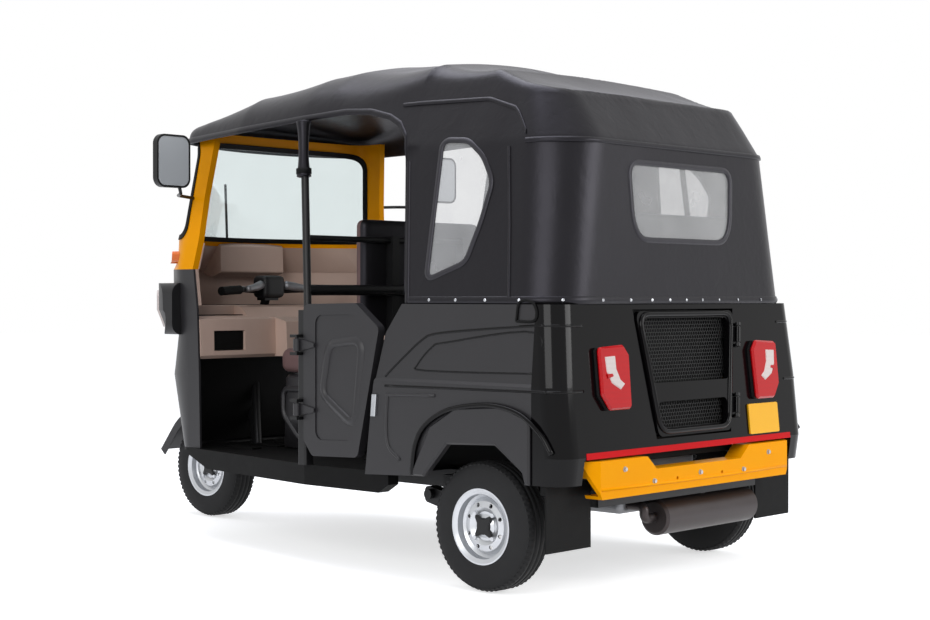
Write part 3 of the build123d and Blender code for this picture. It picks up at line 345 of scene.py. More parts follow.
# %% [markdown]
# ## The canopy
# The real canopy is one hood of coated cloth pulled over steel bows, with a
# seam where the roof cloth meets the side and rear curtains. It could be
# modelled panel by panel, but then every corner is a hard fold. Here it is one
# sheet. Rays go out from a line inside the cab, and each ray stops where it
# leaves the hood's form. That form is a few rules joined by a soft maximum,
# which rounds the folds as stretched cloth does.

# %% The hood's form
roof_rows = [
    # x, half width at the seam, shoulder z, crown z
    (-206, 507, 1514, 1516), (50, 507, 1596, 1604), (334, 507, 1641, 1664), (620, 515, 1643, 1704),
    (886, 521, 1645, 1698), (1230, 506, 1600, 1645), (1440, 476, 1560, 1592), (1700, 436, 1518, 1546),
]
seam_z = 1505
fold_z = 1358
curtain_bottom = 868.3
bows = [-206, 50, 334, 760, 1230, 1690]
bow_sag = 12
lip_centre_x = 686
lip_radius = 1020
lip_soft = 30
# How far each face leans in for 1 mm of height, above the fold and below it
side_lean = (0.36, 0.139)
rear_lean = (0.633, 0.041)
rear_seam_x = -205
shoulder_drop = 60


def roof_value(x, column):
    return np.interp(x, [row[0] for row in roof_rows], [row[column] for row in roof_rows])


def soft_max(a, b, soft):
    reach = np.maximum(soft - np.abs(a - b), 0) / soft
    return np.maximum(a, b) + reach * reach * soft / 4


def side_half_width(x, z):
    upper = roof_value(x, 1) + side_lean[0] * (seam_z - np.maximum(z, fold_z))
    return upper + side_lean[1] * np.maximum(fold_z - z, 0)


def rear_face(z):
    return (rear_seam_x - rear_lean[0] * (seam_z - np.clip(z, fold_z, seam_z))
            - rear_lean[1] * np.maximum(fold_z - z, 0))


def hood(x, y, z):
    """Below zero inside the hood, above zero outside."""
    half = side_half_width(x, z)
    corner = np.interp(z, [curtain_bottom, fold_z, seam_z], [150, 165, 120])
    behind = rear_face(z) + corner - x
    beside = np.abs(y) - half + corner
    outside = np.hypot(np.maximum(behind, 0), np.maximum(beside, 0))
    walls = np.minimum(np.maximum(behind, beside), 0) + outside - corner
    lip = np.hypot(np.maximum(x - lip_centre_x, 0), y) - lip_radius
    walls = soft_max(walls, lip, lip_soft)
    flat = half - side_lean[0] * shoulder_drop - shoulder_drop
    shoulder = roof_value(x, 2)
    crown = roof_value(x, 3)
    middle = 0 * x
    for rear_bow, front_bow in zip(bows, bows[1:]):
        share = np.clip((x - rear_bow) / (front_bow - rear_bow), 0, 1)
        middle = middle + 4 * share * (1 - share)
    top = crown - (crown - shoulder) * (y / flat) ** 2 - bow_sag * middle
    soft = np.interp(x, [-150, 50, 334, 700, 1250, 1480], [14, 26, 60, 110, 90, 36])
    return soft_max(walls, z - top, soft)


# %% [markdown]
# The rays leave from the middle line of the cab: sideways along the sides,
# and in a fan at both ends. The lowest ray of each column ends on the hood's
# lower edge, which runs up and over the doorways.

# %% Columns of rays
doorway_edge = [
    # x, z of the cloth's lower edge
    (299.9, curtain_bottom), (300, curtain_bottom), (302, 880), (355, 1321), (375, 1387), (412, 1430),
    (466, 1458), (564, 1483), (684, 1491), (909, 1481), (1302, 1462), (1700, 1448),
]
middle_z = 1100
fan_rear = 150
fan_front = 1200


def lower_edge(x):
    return np.interp(x, [p[0] for p in doorway_edge], [p[1] for p in doorway_edge])


def side_columns(sign):
    places = sorted(set(list(np.arange(fan_rear, 300, 15.0)) + list(np.arange(300, 440, 4.0))
                        + list(np.arange(440, 620, 9.0)) + list(np.arange(620, fan_front, 20.0))))
    columns = [(x, 0.0, float(sign)) for x in places]
    return columns if sign > 0 else columns[::-1]


def fan_columns(x, start, end, steps):
    turns = [math.radians(start + (end - start) * i / steps) for i in range(steps)]
    return [(x, math.cos(turn), math.sin(turn)) for turn in turns]


columns = (side_columns(-1) + fan_columns(fan_rear, -90, -270, 120)
           + side_columns(1) + fan_columns(fan_front, 90, -90, 84))
columns = np.array(columns)
print(len(columns), "columns of rays")


def halve(value_at, like, farthest, halvings):
    """The distance at which value_at rises through zero, found by halving."""
    near = np.zeros_like(like)
    far = np.full_like(like, farthest)
    for _ in range(halvings):
        half = (near + far) / 2
        inside = value_at(half) < 0
        near = np.where(inside, half, near)
        far = np.where(inside, far, half)
    return near


def reach(origin_x, out_x, out_y, slope):
    """How far out a ray leaves the hood. slope is its rise for each unit out."""
    return halve(lambda d: hood(origin_x + out_x * d, out_y * d, middle_z + slope * d), slope, 2600.0, 36)


def reach_at_height(origin_x, out_x, out_y, z, origin_y=0.0):
    return halve(lambda d: hood(origin_x + out_x * d, origin_y + out_y * d, z), z, 1800.0, 30)


def meet(height_at, rays):
    """The height and the reach at which each ray column meets a line round the hood, given as z for an x."""
    origin, out_x, out_y = rays.T
    edge = np.full(len(rays), 1300.0)
    for _ in range(12):
        flat = reach_at_height(origin, out_x, out_y, edge)
        edge = 0.5 * edge + 0.5 * height_at(origin + out_x * flat)
    return edge, flat


# %% [markdown]
# The rays of each column run from the lower edge to nearly straight up, a
# little closer together near the edge. Where a ray leaves the hood is a point
# of the sheet, so its rows follow the doorways.

# %% The sheet
def hood_points(rows):
    origin, out_x, out_y = columns.T
    edge, flat = meet(lower_edge, columns)
    low = np.arctan2(edge - middle_z, flat)
    points = []
    for row in range(rows):
        turn = low + (math.radians(89.9) - low) * (row / (rows - 1)) ** 1.05
        slope = np.tan(turn)
        out = reach(origin, out_x, out_y, slope)
        points.append(np.stack([origin + out_x * out, out_y * out, middle_z + slope * out], 1))
    return np.array(points)


rows = 84
sheet = hood_points(rows)
print("hood from", sheet.reshape(-1, 3).min(0).round(), "to", sheet.reshape(-1, 3).max(0).round())

# %% [markdown]
# Cloth is never quite flat. Soft waves cover the whole sheet, and shorter
# pulls grow towards the rear corners, where roof, side and rear meet. Both
# are smooth noise, added as small moves along the sheet's own normal.

# %% Waves and thickness
# All in metres
cloth_thickness = 0.0032
wave_depth = 0.0022
pull_depth = 0.0006
corner_pull_depth = 0.004
corner_spot = (-0.17, 0.47, 1.44)
corner_reach = 0.35


def make_hood():
    count = len(columns)
    points = [place(*p) for p in sheet.reshape(-1, 3)]
    faces = []
    for row in range(rows - 1):
        for column in range(count):
            a = row * count + column
            b = row * count + (column + 1) % count
            faces.append((a, a + count, b + count, b))
    piece = new_mesh("canopy_hood", points, faces)
    build = bmesh.new()
    build.from_mesh(piece.data)
    bmesh.ops.remove_doubles(build, verts=build.verts, dist=0.0011)
    bmesh.ops.recalc_face_normals(build, faces=build.faces)
    for vertex in build.verts:
        spot = vertex.co
        wave = noise.noise(Vector((spot.x * 3.1, spot.y * 3.1, spot.z * 1.2)))
        pull = noise.noise(Vector((spot.x * 9, spot.y * 9, spot.z * 2.5 + 7)))
        away = Vector((abs(spot.y) - corner_spot[1], spot.x - rear_axle - corner_spot[0],
                       spot.z - corner_spot[2]))
        corner = max(0.0, 1 - away.length / corner_reach)
        move = wave * wave_depth + pull * (pull_depth + corner_pull_depth * corner) - 0.001
        vertex.co = spot + vertex.normal * move
    build.to_mesh(piece.data)
    build.free()
    return piece


canopy_hood = make_hood()
shell = canopy_hood.modifiers.new("thickness", "SOLIDIFY")
shell.thickness = cloth_thickness
shell.offset = -1
settle(canopy_hood)
print("hood faces", len(canopy_hood.data.polygons))

# %% [markdown]
# ### The windows in the canopy
# The windows are cut with rounded prisms. Cutting the finished sheet keeps its
# curve right up to the edge of the opening.

# %% Cut the windows
quarter_window = [(212, 950), (199, 1369), (100, 1362), (34, 1312), (-12, 1236), (20, 1118), (66, 1000)]
rear_window = [(-218, 1070), (218, 1070), (252, 1120), (264, 1292), (-264, 1292), (-252, 1120)]


def round_corners(outline, radius, steps=5):
    """A closed outline with each corner turned into a short curve."""
    made = []
    total = len(outline)
    for index, here in enumerate(outline):
        here = Vector(here)
        for neighbour, order in ((outline[index - 1], 0), (outline[(index + 1) % total], 1)):
            side = Vector(neighbour) - here
            cut = here + side.normalized() * min(radius, side.length * 0.45)
            if order == 0:
                start = cut
            else:
                end = cut
        for step in range(steps + 1):
            share = step / steps
            made.append((1 - share) ** 2 * start + 2 * share * (1 - share) * here + share ** 2 * end)
    return made


def prism(name, outline, along, low, high):
    """A solid cutter. along is 'y' for a side window and 'x' for the rear one."""
    points = []
    for level in (low, high):
        for u, z in outline:
            points.append(place(u, level, z) if along == "y" else place(level, u, z))
    total = len(outline)
    faces = [tuple(range(total)), tuple(range(2 * total - 1, total - 1, -1))]
    for index in range(total):
        other = (index + 1) % total
        faces.append((index, index + total, other + total, other))
    return face_outward(new_mesh(name, points, faces, smooth=False))


def window_prisms(kind, side_outline, rear_outline):
    """Prisms through the left, right and rear cloth, and clear of the rest of the hood."""
    return [prism(kind + "_left", side_outline, "y", 430, 700),
            prism(kind + "_right", side_outline, "y", -700, -430),
            prism(kind + "_rear", rear_outline, "x", -420, -150)]


def cut_with(piece, cutter, operation):
    cut = piece.modifiers.new(cutter.name, "BOOLEAN")
    cut.operation = operation
    cut.solver = "EXACT"
    cut.object = cutter


side_hole = round_corners(quarter_window, 24)
rear_hole = round_corners(rear_window, 40)
cutters = window_prisms("cut", side_hole, rear_hole)
whole_hood = canopy_hood.data.copy()
for cutter in cutters:
    cut_with(canopy_hood, cutter, "DIFFERENCE")
settle(canopy_hood)
fasten(canopy_hood, "pvc_coated_cloth")
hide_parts("canopy_roof", "canopy_rear", "canopy_side_left", "canopy_side_right")
hood_area = sum(face.area for face in canopy_hood.data.polygons) / 2
print("hood area", round(hood_area, 2), "m2,", len(canopy_hood.data.polygons), "faces")

# %% [markdown]
# The windows are clear vinyl welded behind the holes. Each pane is the piece
# of the uncut sheet inside a slightly larger prism, set back by a little more
# than the cloth's thickness, so it has the hood's own curve.

# %% Window panes
pane_lap = 9
pane_set_back = 0.0036


def grow(outline, amount):
    """Moves each point of a closed outline out along its own normal. The outline runs clockwise or not."""
    total = len(outline)
    area = sum(outline[i][0] * outline[(i + 1) % total][1] - outline[(i + 1) % total][0] * outline[i][1]
               for i in range(total))
    side = 1 if area > 0 else -1
    made = []
    for index, here in enumerate(outline):
        run = Vector(outline[(index + 1) % total]) - Vector(outline[index - 1])
        out = Vector((run.y, -run.x)).normalized() * side
        made.append(Vector(here) + out * amount)
    return made


pane_cutters = window_prisms("pane", grow(side_hole, pane_lap), grow(rear_hole, pane_lap))
for cutter in pane_cutters:
    pane = new_object("window_" + cutter.name, whole_hood.copy())
    cut_with(pane, cutter, "INTERSECT")
    settle(pane)
    move = Vector((pane_set_back, 0, 0)) if "rear" in pane.name else Vector(
        (0, -pane_set_back if "left" in pane.name else pane_set_back, 0))
    for vertex in pane.data.vertices:
        vertex.co += move
    fasten(pane, "clear_vinyl")
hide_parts("canopy_windows")
for cutter in cutters + pane_cutters:
    bpy.data.objects.remove(cutter)

# %% [markdown]
# ### Seams, hems and bindings
# Each is a strip of the same cloth, sewn on. Seen from the outside it is a
# low step with two soft edges. The strips follow the hood, so the same rays
# find their places, at a few heights each.

# %% Sewn strips
strip_steps = [(0.0, -1.2), (0.12, 1.0), (0.5, 1.0), (0.88, 1.0), (1.0, -1.2)]


def ribbon(name, lines, closed):
    """A surface through lines that run side by side."""
    count = len(lines[0])
    points = [point for line in lines for point in line]
    faces = []
    for low in range(len(lines) - 1):
        for index in range(count if closed else count - 1):
            other = (index + 1) % count
            a, b = low * count, (low + 1) * count
            faces.append((a + index, b + index, b + other, a + other))
    return new_mesh(name, points, faces)


def strip_round(name, first_x, last_x, low_line, high_line, lift, side=0):
    """A strip round the hood where x is between two limits. side is 1 or -1 for one side only."""
    start, reach_out = meet(low_line, columns)
    spot_x = columns[:, 0] + columns[:, 1] * reach_out
    spot_y = columns[:, 2] * reach_out
    use = (spot_x >= first_x) & (spot_x <= last_x)
    if side:
        use &= spot_y * side > 0
    order = np.where(use)[0]
    gap = np.where(np.diff(order) > 1)[0]
    if len(gap):
        order = np.concatenate([order[gap[0] + 1:], order[:gap[0] + 1]])
    rays = columns[order]
    lines = []
    for share, rise in strip_steps:
        z, out = meet(lambda x: low_line(x) * (1 - share) + high_line(x) * share, rays)
        out = out + rise * lift
        lines.append([place(*p) for p in np.stack([rays[:, 0] + rays[:, 1] * out, rays[:, 2] * out, z], 1)])
    return ribbon(name, lines, len(order) == len(columns))


def level_line(z):
    return lambda x: 0 * x + z


def roof_seam(x):
    """The roof cloth's edge dips between the bows."""
    return np.interp(x, [-150, -120, -73, 50, 334], [1352, 1400, 1458, 1497, 1506])


strips = [
    strip_round("hem_bottom", -500, 299, level_line(curtain_bottom + 1),
                level_line(curtain_bottom + 24), 2.2),
    strip_round("seam_fold", -500, -120, level_line(fold_z - 12), level_line(fold_z + 6), 5.0),
    strip_round("binding_doorway_left", 300.5, 1690, lower_edge, lambda x: lower_edge(x) + 22, 2.4, 1),
    strip_round("binding_doorway_right", 300.5, 1690, lower_edge, lambda x: lower_edge(x) + 22, 2.4, -1),
    strip_round("seam_roof_left", -150, 420, lambda x: roof_seam(x) - 8,
                lambda x: roof_seam(x) + 6, 3.4, 1),
    strip_round("seam_roof_right", -150, 420, lambda x: roof_seam(x) - 8,
                lambda x: roof_seam(x) + 6, 3.4, -1),
]


def on_side(x, z, sign):
    """The hood's surface on one side, as a distance from the middle."""
    x, z = np.array(x, dtype=float), np.array(z, dtype=float)
    return reach_at_height(x, 0 * x, 0 * x + sign, z) * sign


def on_rear(y, z):
    """The hood's rear surface, as a distance ahead of the rear axle."""
    y, z = np.array(y, dtype=float), np.array(z, dtype=float)
    return fan_rear - reach_at_height(fan_rear + 0 * y, 0 * y - 1, 0 * y, z, y)


def border(name, outline, face):
    """The welded border of a window, on the left, the right or the rear."""
    lines = []
    for out, rise in ((-2, -3.0), (0, 1.3), (7, 1.5), (15, 1.3), (16, -1.2)):
        ring_points = grow(outline, out)
        u = [p[0] for p in ring_points]
        z = [p[1] for p in ring_points]
        if face == "rear":
            lines.append([place(x - rise, y, h) for x, y, h in zip(on_rear(u, z), u, z)])
        else:
            sign = 1 if face == "left" else -1
            lines.append([place(x, y + rise * sign, h) for x, y, h in zip(u, on_side(u, z, sign), z)])
    return ribbon(name, lines, True)


def upright_seam(name, path, width, lift, sign):
    """A seam that runs up the side. path has x and z."""
    z = np.linspace(path[0][1], path[-1][1], 40)
    x = np.interp(z, [p[1] for p in path], [p[0] for p in path])
    lines = []
    for share, rise in strip_steps:
        across = x + (share - 0.5) * width
        out = on_side(across, z, sign)
        lines.append([place(a, b + rise * lift * sign, c) for a, b, c in zip(across, out, z)])
    return ribbon(name, lines, False)


for face, outline in (("left", side_hole), ("right", side_hole), ("rear", rear_hole)):
    strips.append(border("window_border_" + face, outline, face))
for side, sign in (("left", 1), ("right", -1)):
    strips.append(upright_seam("seam_rear_quarter_" + side, [(-128, 872), (-104, 1100), (-72, 1340)],
                               10, 1.8, sign))
    strips.append(upright_seam("seam_front_edge_" + side, [(290, 872), (291, 880), (344, 1318)],
                               20, 2.2, sign))
for strip in strips:
    face_outward(strip)
    fasten(strip, "pvc_welded_border" if "window" in strip.name else "pvc_coated_cloth")
print(len(strips), "strips,", sum(len(strip.data.polygons) for strip in strips), "faces")

# %% [markdown]
# ## Padding
# A seat is foam in a sewn vinyl cover: flat below, crowned on top, its sides
# pulled in between the corners, with sewn channels. The form starts as a
# rounded box with even faces, and the crown and the channels are moves of its
# points.

# %% Padded forms
def padded_box(name, low, high, corner, spacing, shape):
    """A rounded box with a face every spacing mm. shape(u, v, w) gives a move in mm for -1..1 places."""
    size = [b - a for a, b in zip(low, high)]
    middle = [(a + b) / 2 for a, b in zip(low, high)]
    build = bmesh.new()
    steps = [max(2, round(s / spacing)) for s in size]
    seen = {}

    def point(i, j, k):
        if (i, j, k) not in seen:
            flat = [size[n] * (c / steps[n] - 0.5) for n, c in enumerate((i, j, k))]
            core = [max(-s / 2 + corner, min(s / 2 - corner, f)) for s, f in zip(size, flat)]
            out = Vector(flat) - Vector(core)
            spot = Vector(core) + (out.normalized() * corner if out.length > 0 else out)
            unit = [2 * s / t for s, t in zip(spot, size)]
            spot = spot + Vector(shape(*unit))
            seen[(i, j, k)] = build.verts.new(place(*(m + s for m, s in zip(middle, spot))))
        return seen[(i, j, k)]

    for axis in range(3):
        a, b = [n for n in range(3) if n != axis]
        for level in (0, steps[axis]):
            for i in range(steps[a]):
                for j in range(steps[b]):
                    corners = []
                    for di, dj in ((0, 0), (1, 0), (1, 1), (0, 1)):
                        spot = [0, 0, 0]
                        spot[axis], spot[a], spot[b] = level, i + di, j + dj
                        corners.append(point(*spot))
                    build.faces.new(corners)
    bmesh.ops.recalc_face_normals(build, faces=build.faces)
    mesh = bpy.data.meshes.new(name)
    build.to_mesh(mesh)
    build.free()
    shade_smooth(mesh)
    return new_object(name, mesh)


def channel(value, pitch, depth, width):
    """A sewn channel every pitch, in the same unit as value."""
    away = abs((value / pitch) % 1 - 0.5) * pitch
    return -depth * math.exp(-((pitch / 2 - away) / width) ** 2)


def bench_shape(crown, dip, pitch):
    def shape(u, v, w):
        edge = max(0.0, (1 - u ** 4) * (1 - v ** 4))
        lift = crown * edge if w > 0 else 0.0
        sew = channel(v, pitch, dip, 0.012) * edge if w > 0.6 else 0.0
        pull = -5 * (1 - min(1, abs(w)) ** 2)
        return (pull * u * (1 - v * v), pull * v * (1 - u * u), lift + sew - crown * 0.7 * (w > 0))
    return shape


def back_shape(crown, dip, pitch):
    def shape(u, v, w):
        edge = max(0.0, (1 - w ** 4) * (1 - v ** 4))
        lift = crown * edge * (1 if u > 0 else -0.3)
        sew = -channel(w, pitch, dip, 0.03) * edge if u > 0.4 else 0.0
        return (lift - sew - crown * 0.7 * (u > 0), 0.0, 0.0)
    return shape


def fit_pad(pad, node, finish):
    fasten(pad, finish)
    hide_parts(node)
    print(pad.name, len(pad.data.polygons), "faces")


print("padding helpers ready")

# %% [markdown]
# Both cushions and the driver's backrest are such forms, each with its own
# crown and channels. The driver's cushion and the front of the driver's
# backrest are mauve, the rest black.

# %% Seats
driver_cushion = padded_box("driver_cushion_pad", (900, -262, 612.5), (1310, 262, 706), 30, 12,
                            bench_shape(9, 5, 0.5))
passenger_cushion = padded_box("passenger_cushion_pad", (-60, -566, 560.6), (402, 566, 690), 34, 14,
                               bench_shape(10, 6, 0.33))
driver_back = padded_box("driver_backrest_pad", (819, -298, 753), (879, 298, 1158), 24, 12,
                         back_shape(7, 4, 0.5))
fit_pad(driver_cushion, "driver_seat_cushion", "seat_vinyl_mauve")
fit_pad(passenger_cushion, "passenger_cushion", "seat_vinyl_black")
fit_pad(driver_back, "driver_backrest", "seat_vinyl_black")
driver_back.data.materials.append(finishes["seat_vinyl_mauve"])
for face in driver_back.data.polygons:
    face.material_index = 1 if face.center.x > place(841, 0, 0).x else 0

# %% [markdown]
# The passengers' backrest leans with the engine cover behind it, so its
# points are sheared back after the pad is made.

# %% The passengers' backrest
def lean(piece, foot_z, top_z, foot_x, top_x):
    for vertex in piece.data.vertices:
        z = vertex.co.z * 1000
        share = (z - foot_z) / (top_z - foot_z)
        vertex.co.x += (foot_x + share * (top_x - foot_x)) / 1000


passenger_back = padded_box("passenger_backrest_pad", (0, -563, 704), (74, 563, 1158), 26, 14,
                            back_shape(8, 5, 0.4))
lean(passenger_back, 704, 1158, -92, -166)
fit_pad(passenger_back, "passenger_backrest", "seat_vinyl_black")

# %% [markdown]
# ## Tyres
# A tyre is a ring of moulded rubber: a round tread with grooves, straight
# sidewalls and a bead that sits on the rim. One outline turned about the axle
# makes it. The tread blocks at its shoulders come later, with the tool that
# sets one small shape at many places.

# %% Tyre rings
tyre_profile = [
    # radius, outboard distance, in mm
    (104.5, 46), (112, 50.5), (128, 52.2), (150, 52.6), (172, 50), (186, 45.5), (192, 40), (194.6, 32),
    (195.6, 23), (192.6, 22), (192.6, 18), (196.2, 17), (196.6, 3), (193.2, 2), (193.2, -2),
    (196.6, -3), (196.2, -17), (192.6, -18), (192.6, -22), (195.6, -23), (194.6, -32), (192, -40),
    (186, -45.5), (172, -50), (150, -52.6), (128, -52.2), (112, -50.5), (104.5, -46),
]


def ring(name, profile, centre, sides):
    """Turns an outline about the axle through centre, which runs along Y."""
    points = []
    for side in range(sides):
        turn = 2 * math.pi * side / sides
        for radius, out in profile:
            points.append(Vector((centre[0] + radius / 1000 * math.cos(turn), centre[1] + out / 1000,
                                  centre[2] + radius / 1000 * math.sin(turn))))
    total = len(profile)
    faces = []
    for side in range(sides):
        other = (side + 1) % sides
        here, there = side * total, other * total
        for index in range(total):
            ahead = (index + 1) % total
            faces.append((here + index, here + ahead, there + ahead, there + index))
    return face_outward(new_mesh(name, points, faces))


wheel_bodies = [("wheel_front", "tyre_front", "front_wheel"),
                ("wheel_rear_left", "tyre_rear_left", "rear_wheel_left"),
                ("wheel_rear_right", "tyre_rear_right", "rear_wheel_right")]


def centre_of(node):
    low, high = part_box(node)
    return [(a + b) / 2 for a, b in zip(low, high)]


for wheel, tyre, body in wheel_bodies:
    piece = ring(tyre + "_ring", tyre_profile, centre_of(tyre), 96)
    fasten(piece, "tyre_rubber", body)
    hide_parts(tyre)
print("three tyres, radius", max(r for r, _ in tyre_profile), "mm")

# %% [markdown]
# ## Tools for small fittings
# Three tools make nearly all of the fittings. A tube follows a smooth path
# and may change its radius. A plate stands out from the side or the rear
# face. Geometry Nodes set one small shape, such as a bolt or a tread block,
# at many places, each turned to face out of its surface.

# %% Tubes and plates
def smooth_path(points, steps=6):
    """A soft curve through the points."""
    spots = [Vector(p) for p in points]
    spots = [spots[0] * 2 - spots[1]] + spots + [spots[-1] * 2 - spots[-2]]
    made = []
    for a, b, c, d in zip(spots, spots[1:], spots[2:], spots[3:]):
        for step in range(steps):
            t = step / steps
            made.append(0.5 * (2 * b + (c - a) * t + (2 * a - 5 * b + 4 * c - d) * t ** 2
                               + (3 * b - a - 3 * c + d) * t ** 3))
    return made + [spots[-2]]


def tube(name, path, radius, sides=8, closed=False):
    """A round tube along scene points. radius is in mm, one value or one for each point."""
    count = len(path)
    radii = list(radius) if isinstance(radius, (list, tuple, np.ndarray)) else [radius] * count
    points = []
    across = None
    for index, here in enumerate(path):
        if closed:
            run = path[(index + 1) % count] - path[index - 1]
        else:
            run = path[min(index + 1, count - 1)] - path[max(index - 1, 0)]
        run.normalize()
        if across is None:
            across = run.orthogonal().normalized()
        across = (across - run * across.dot(run)).normalized()
        other = run.cross(across)
        for side in range(sides):
            turn = 2 * math.pi * side / sides
            points.append(here + (across * math.cos(turn) + other * math.sin(turn)) * radii[index] / 1000)
    faces = []
    for index in range(count if closed else count - 1):
        ahead = (index + 1) % count
        for side in range(sides):
            beside = (side + 1) % sides
            a, b = index * sides, ahead * sides
            faces.append((a + side, a + beside, b + beside, b + side))
    if not closed:
        faces.append(tuple(range(sides))[::-1])
        faces.append(tuple(range((count - 1) * sides, count * sides)))
    return new_mesh(name, points, faces)


def gather(name, pieces):
    """Joins several pieces into one."""
    build = bmesh.new()
    for piece in pieces:
        build.from_mesh(piece.data)
        bpy.data.objects.remove(piece)
    bmesh.ops.recalc_face_normals(build, faces=build.faces)
    mesh = bpy.data.meshes.new(name)
    build.to_mesh(mesh)
    build.free()
    return new_object(name, mesh)


rear_foot = Vector((-352, 460))
rear_head = Vector((-310, 860))
rear_rise = (rear_head - rear_foot).normalized()


def on_tail(y, z, out):
    """A place on the leaning rear face, raised by out. z is the height on the face itself."""
    up = (z - rear_foot.y) / rear_rise.y
    x = rear_foot.x + up * rear_rise.x - out * rear_rise.y
    return place(x, y, z + out * rear_rise.x)


def flank_half_width(z):
    return np.interp(z, [620, 628, 868], [650, 643, 630])


def on_flank(x, z, out, sign=1):
    """A place on the body's side, raised by out."""
    return place(x, sign * (flank_half_width(z) + out), z)


def plate(name, outline, at, low, high, edge=2.0):
    """A plate with a softened rim. at(u, v, out) gives a place; outline is a list of u and v."""
    rings = [(grow(outline, 0), low), (grow(outline, 0), high - edge), (grow(outline, -edge), high)]
    points = [at(u, v, out) for ring_points, out in rings for u, v in ring_points]
    total = len(outline)
    faces = [tuple(range(total)), tuple(range(2 * total, 3 * total))]
    for level in (0, 1):
        for index in range(total):
            other = (index + 1) % total
            faces.append((level * total + index, level * total + other,
                          (level + 1) * total + other, (level + 1) * total + index))
    piece = new_mesh(name, points, faces, smooth=False)
    return gather(name, [piece])


def pressed_rim(name, outline, at, width, rise):
    """The raised, rounded rim of a pressed pocket."""
    lines = []
    for out, height in ((width, -1.0), (width * 0.8, rise * 0.5), (width * 0.45, rise),
                        (width * 0.2, rise), (0, -0.6)):
        lines.append([at(u, v, height) for u, v in grow(outline, out)])
    return ribbon(name, lines, True)


# %% [markdown]
# One node tree sets a small shape at every point of a mesh. Each point says
# where its shape faces and how it is turned. The copies are made real, so that
# the piece ends as plain faces.

# %% Geometry Nodes: one shape at many places
def repeat_tree():
    """Sets an object at every point of a mesh, its Z along facing and its X along the attribute run."""
    tree = bpy.data.node_groups.new("repeat_on_points", "GeometryNodeTree")
    tree.interface.new_socket("Places", in_out="INPUT", socket_type="NodeSocketGeometry")
    tree.interface.new_socket("Shape", in_out="INPUT", socket_type="NodeSocketObject")
    tree.interface.new_socket("Size", in_out="INPUT", socket_type="NodeSocketFloat")
    tree.interface.new_socket("Finish", in_out="INPUT", socket_type="NodeSocketMaterial")
    tree.interface.new_socket("Geometry", in_out="OUTPUT", socket_type="NodeSocketGeometry")
    given = tree.nodes.new("NodeGroupInput")
    facing = add(tree, "GeometryNodeInputNamedAttribute", {"Name": "facing"}, data_type="FLOAT_VECTOR")
    run = add(tree, "GeometryNodeInputNamedAttribute", {"Name": "run"}, data_type="FLOAT_VECTOR")
    upright = add(tree, "FunctionNodeAlignRotationToVector", {"Vector": facing.outputs["Attribute"]},
                  axis="Z")
    turned = add(tree, "FunctionNodeAlignRotationToVector", {"Rotation": upright.outputs[0],
                 "Vector": run.outputs["Attribute"]}, axis="X", pivot_axis="Z")
    shape = add(tree, "GeometryNodeObjectInfo", {"Object": given.outputs["Shape"]})
    grown_by = add(tree, "ShaderNodeCombineXYZ", {"X": given.outputs["Size"], "Y": given.outputs["Size"],
                   "Z": given.outputs["Size"]})
    copies = add(tree, "GeometryNodeInstanceOnPoints", {"Points": given.outputs["Places"],
                 "Instance": shape.outputs["Geometry"], "Rotation": turned.outputs[0],
                 "Scale": grown_by.outputs[0]})
    real = add(tree, "GeometryNodeRealizeInstances", {"Geometry": copies.outputs[0]})
    painted = add(tree, "GeometryNodeSetMaterial", {"Geometry": real.outputs[0],
                  "Material": given.outputs["Finish"]})
    add(tree, "NodeGroupOutput", {"Geometry": painted.outputs[0]})
    return tree


repeat_nodes = repeat_tree()


def repeated(name, shape, spots, finish, body, size=1.0):
    """shape is a small object at the origin. spots are (place, facing, run)."""
    piece = new_mesh(name, [spot[0] for spot in spots], [])
    for key, column in (("facing", 1), ("run", 2)):
        values = piece.data.attributes.new(key, "FLOAT_VECTOR", "POINT")
        values.data.foreach_set("vector", [v for spot in spots for v in spot[column]])
    nodes = piece.modifiers.new("repeat", "NODES")
    nodes.node_group = repeat_nodes
    sockets = repeat_nodes.interface.items_tree
    given = {item.name: item.identifier for item in sockets if item.in_out == "INPUT"}
    nodes[given["Shape"]] = shape
    nodes[given["Size"]] = size
    nodes[given["Finish"]] = finishes[finish]
    settle(piece)
    fasten(piece, finish, body)
    return piece


def turned_shape(name, profile, sides):
    """A small shape turned about Z. profile has radius and height in mm."""
    points = [Vector((radius / 1000 * math.cos(2 * math.pi * side / sides),
                      radius / 1000 * math.sin(2 * math.pi * side / sides), height / 1000))
              for radius, height in profile for side in range(sides)]
    faces = [tuple(range(sides))[::-1], tuple(range((len(profile) - 1) * sides, len(profile) * sides))]
    for level in range(len(profile) - 1):
        for side in range(sides):
            other = (side + 1) % sides
            faces.append((level * sides + side, level * sides + other, (level + 1) * sides + other,
                          (level + 1) * sides + side))
    return new_mesh(name, points, faces, smooth=False)


bolt = turned_shape("bolt_shape", [(9, -1), (9, 1.2), (8, 2), (6.6, 2), (6.6, 6.5), (5.6, 7.4)], 6)
stud = turned_shape("stud_shape", [(5, -1), (5, 0.6), (3.6, 1.8), (1.4, 2.3)], 10)
print("fitting tools ready")

# %% [markdown]
# ## Fittings on the body
# The pressed lines, the rims round the pockets and the wheel arch lips are
# what gives the flat panels their life. They are drawn as slim raised beads.
# Each is measured once for the left side and mirrored.

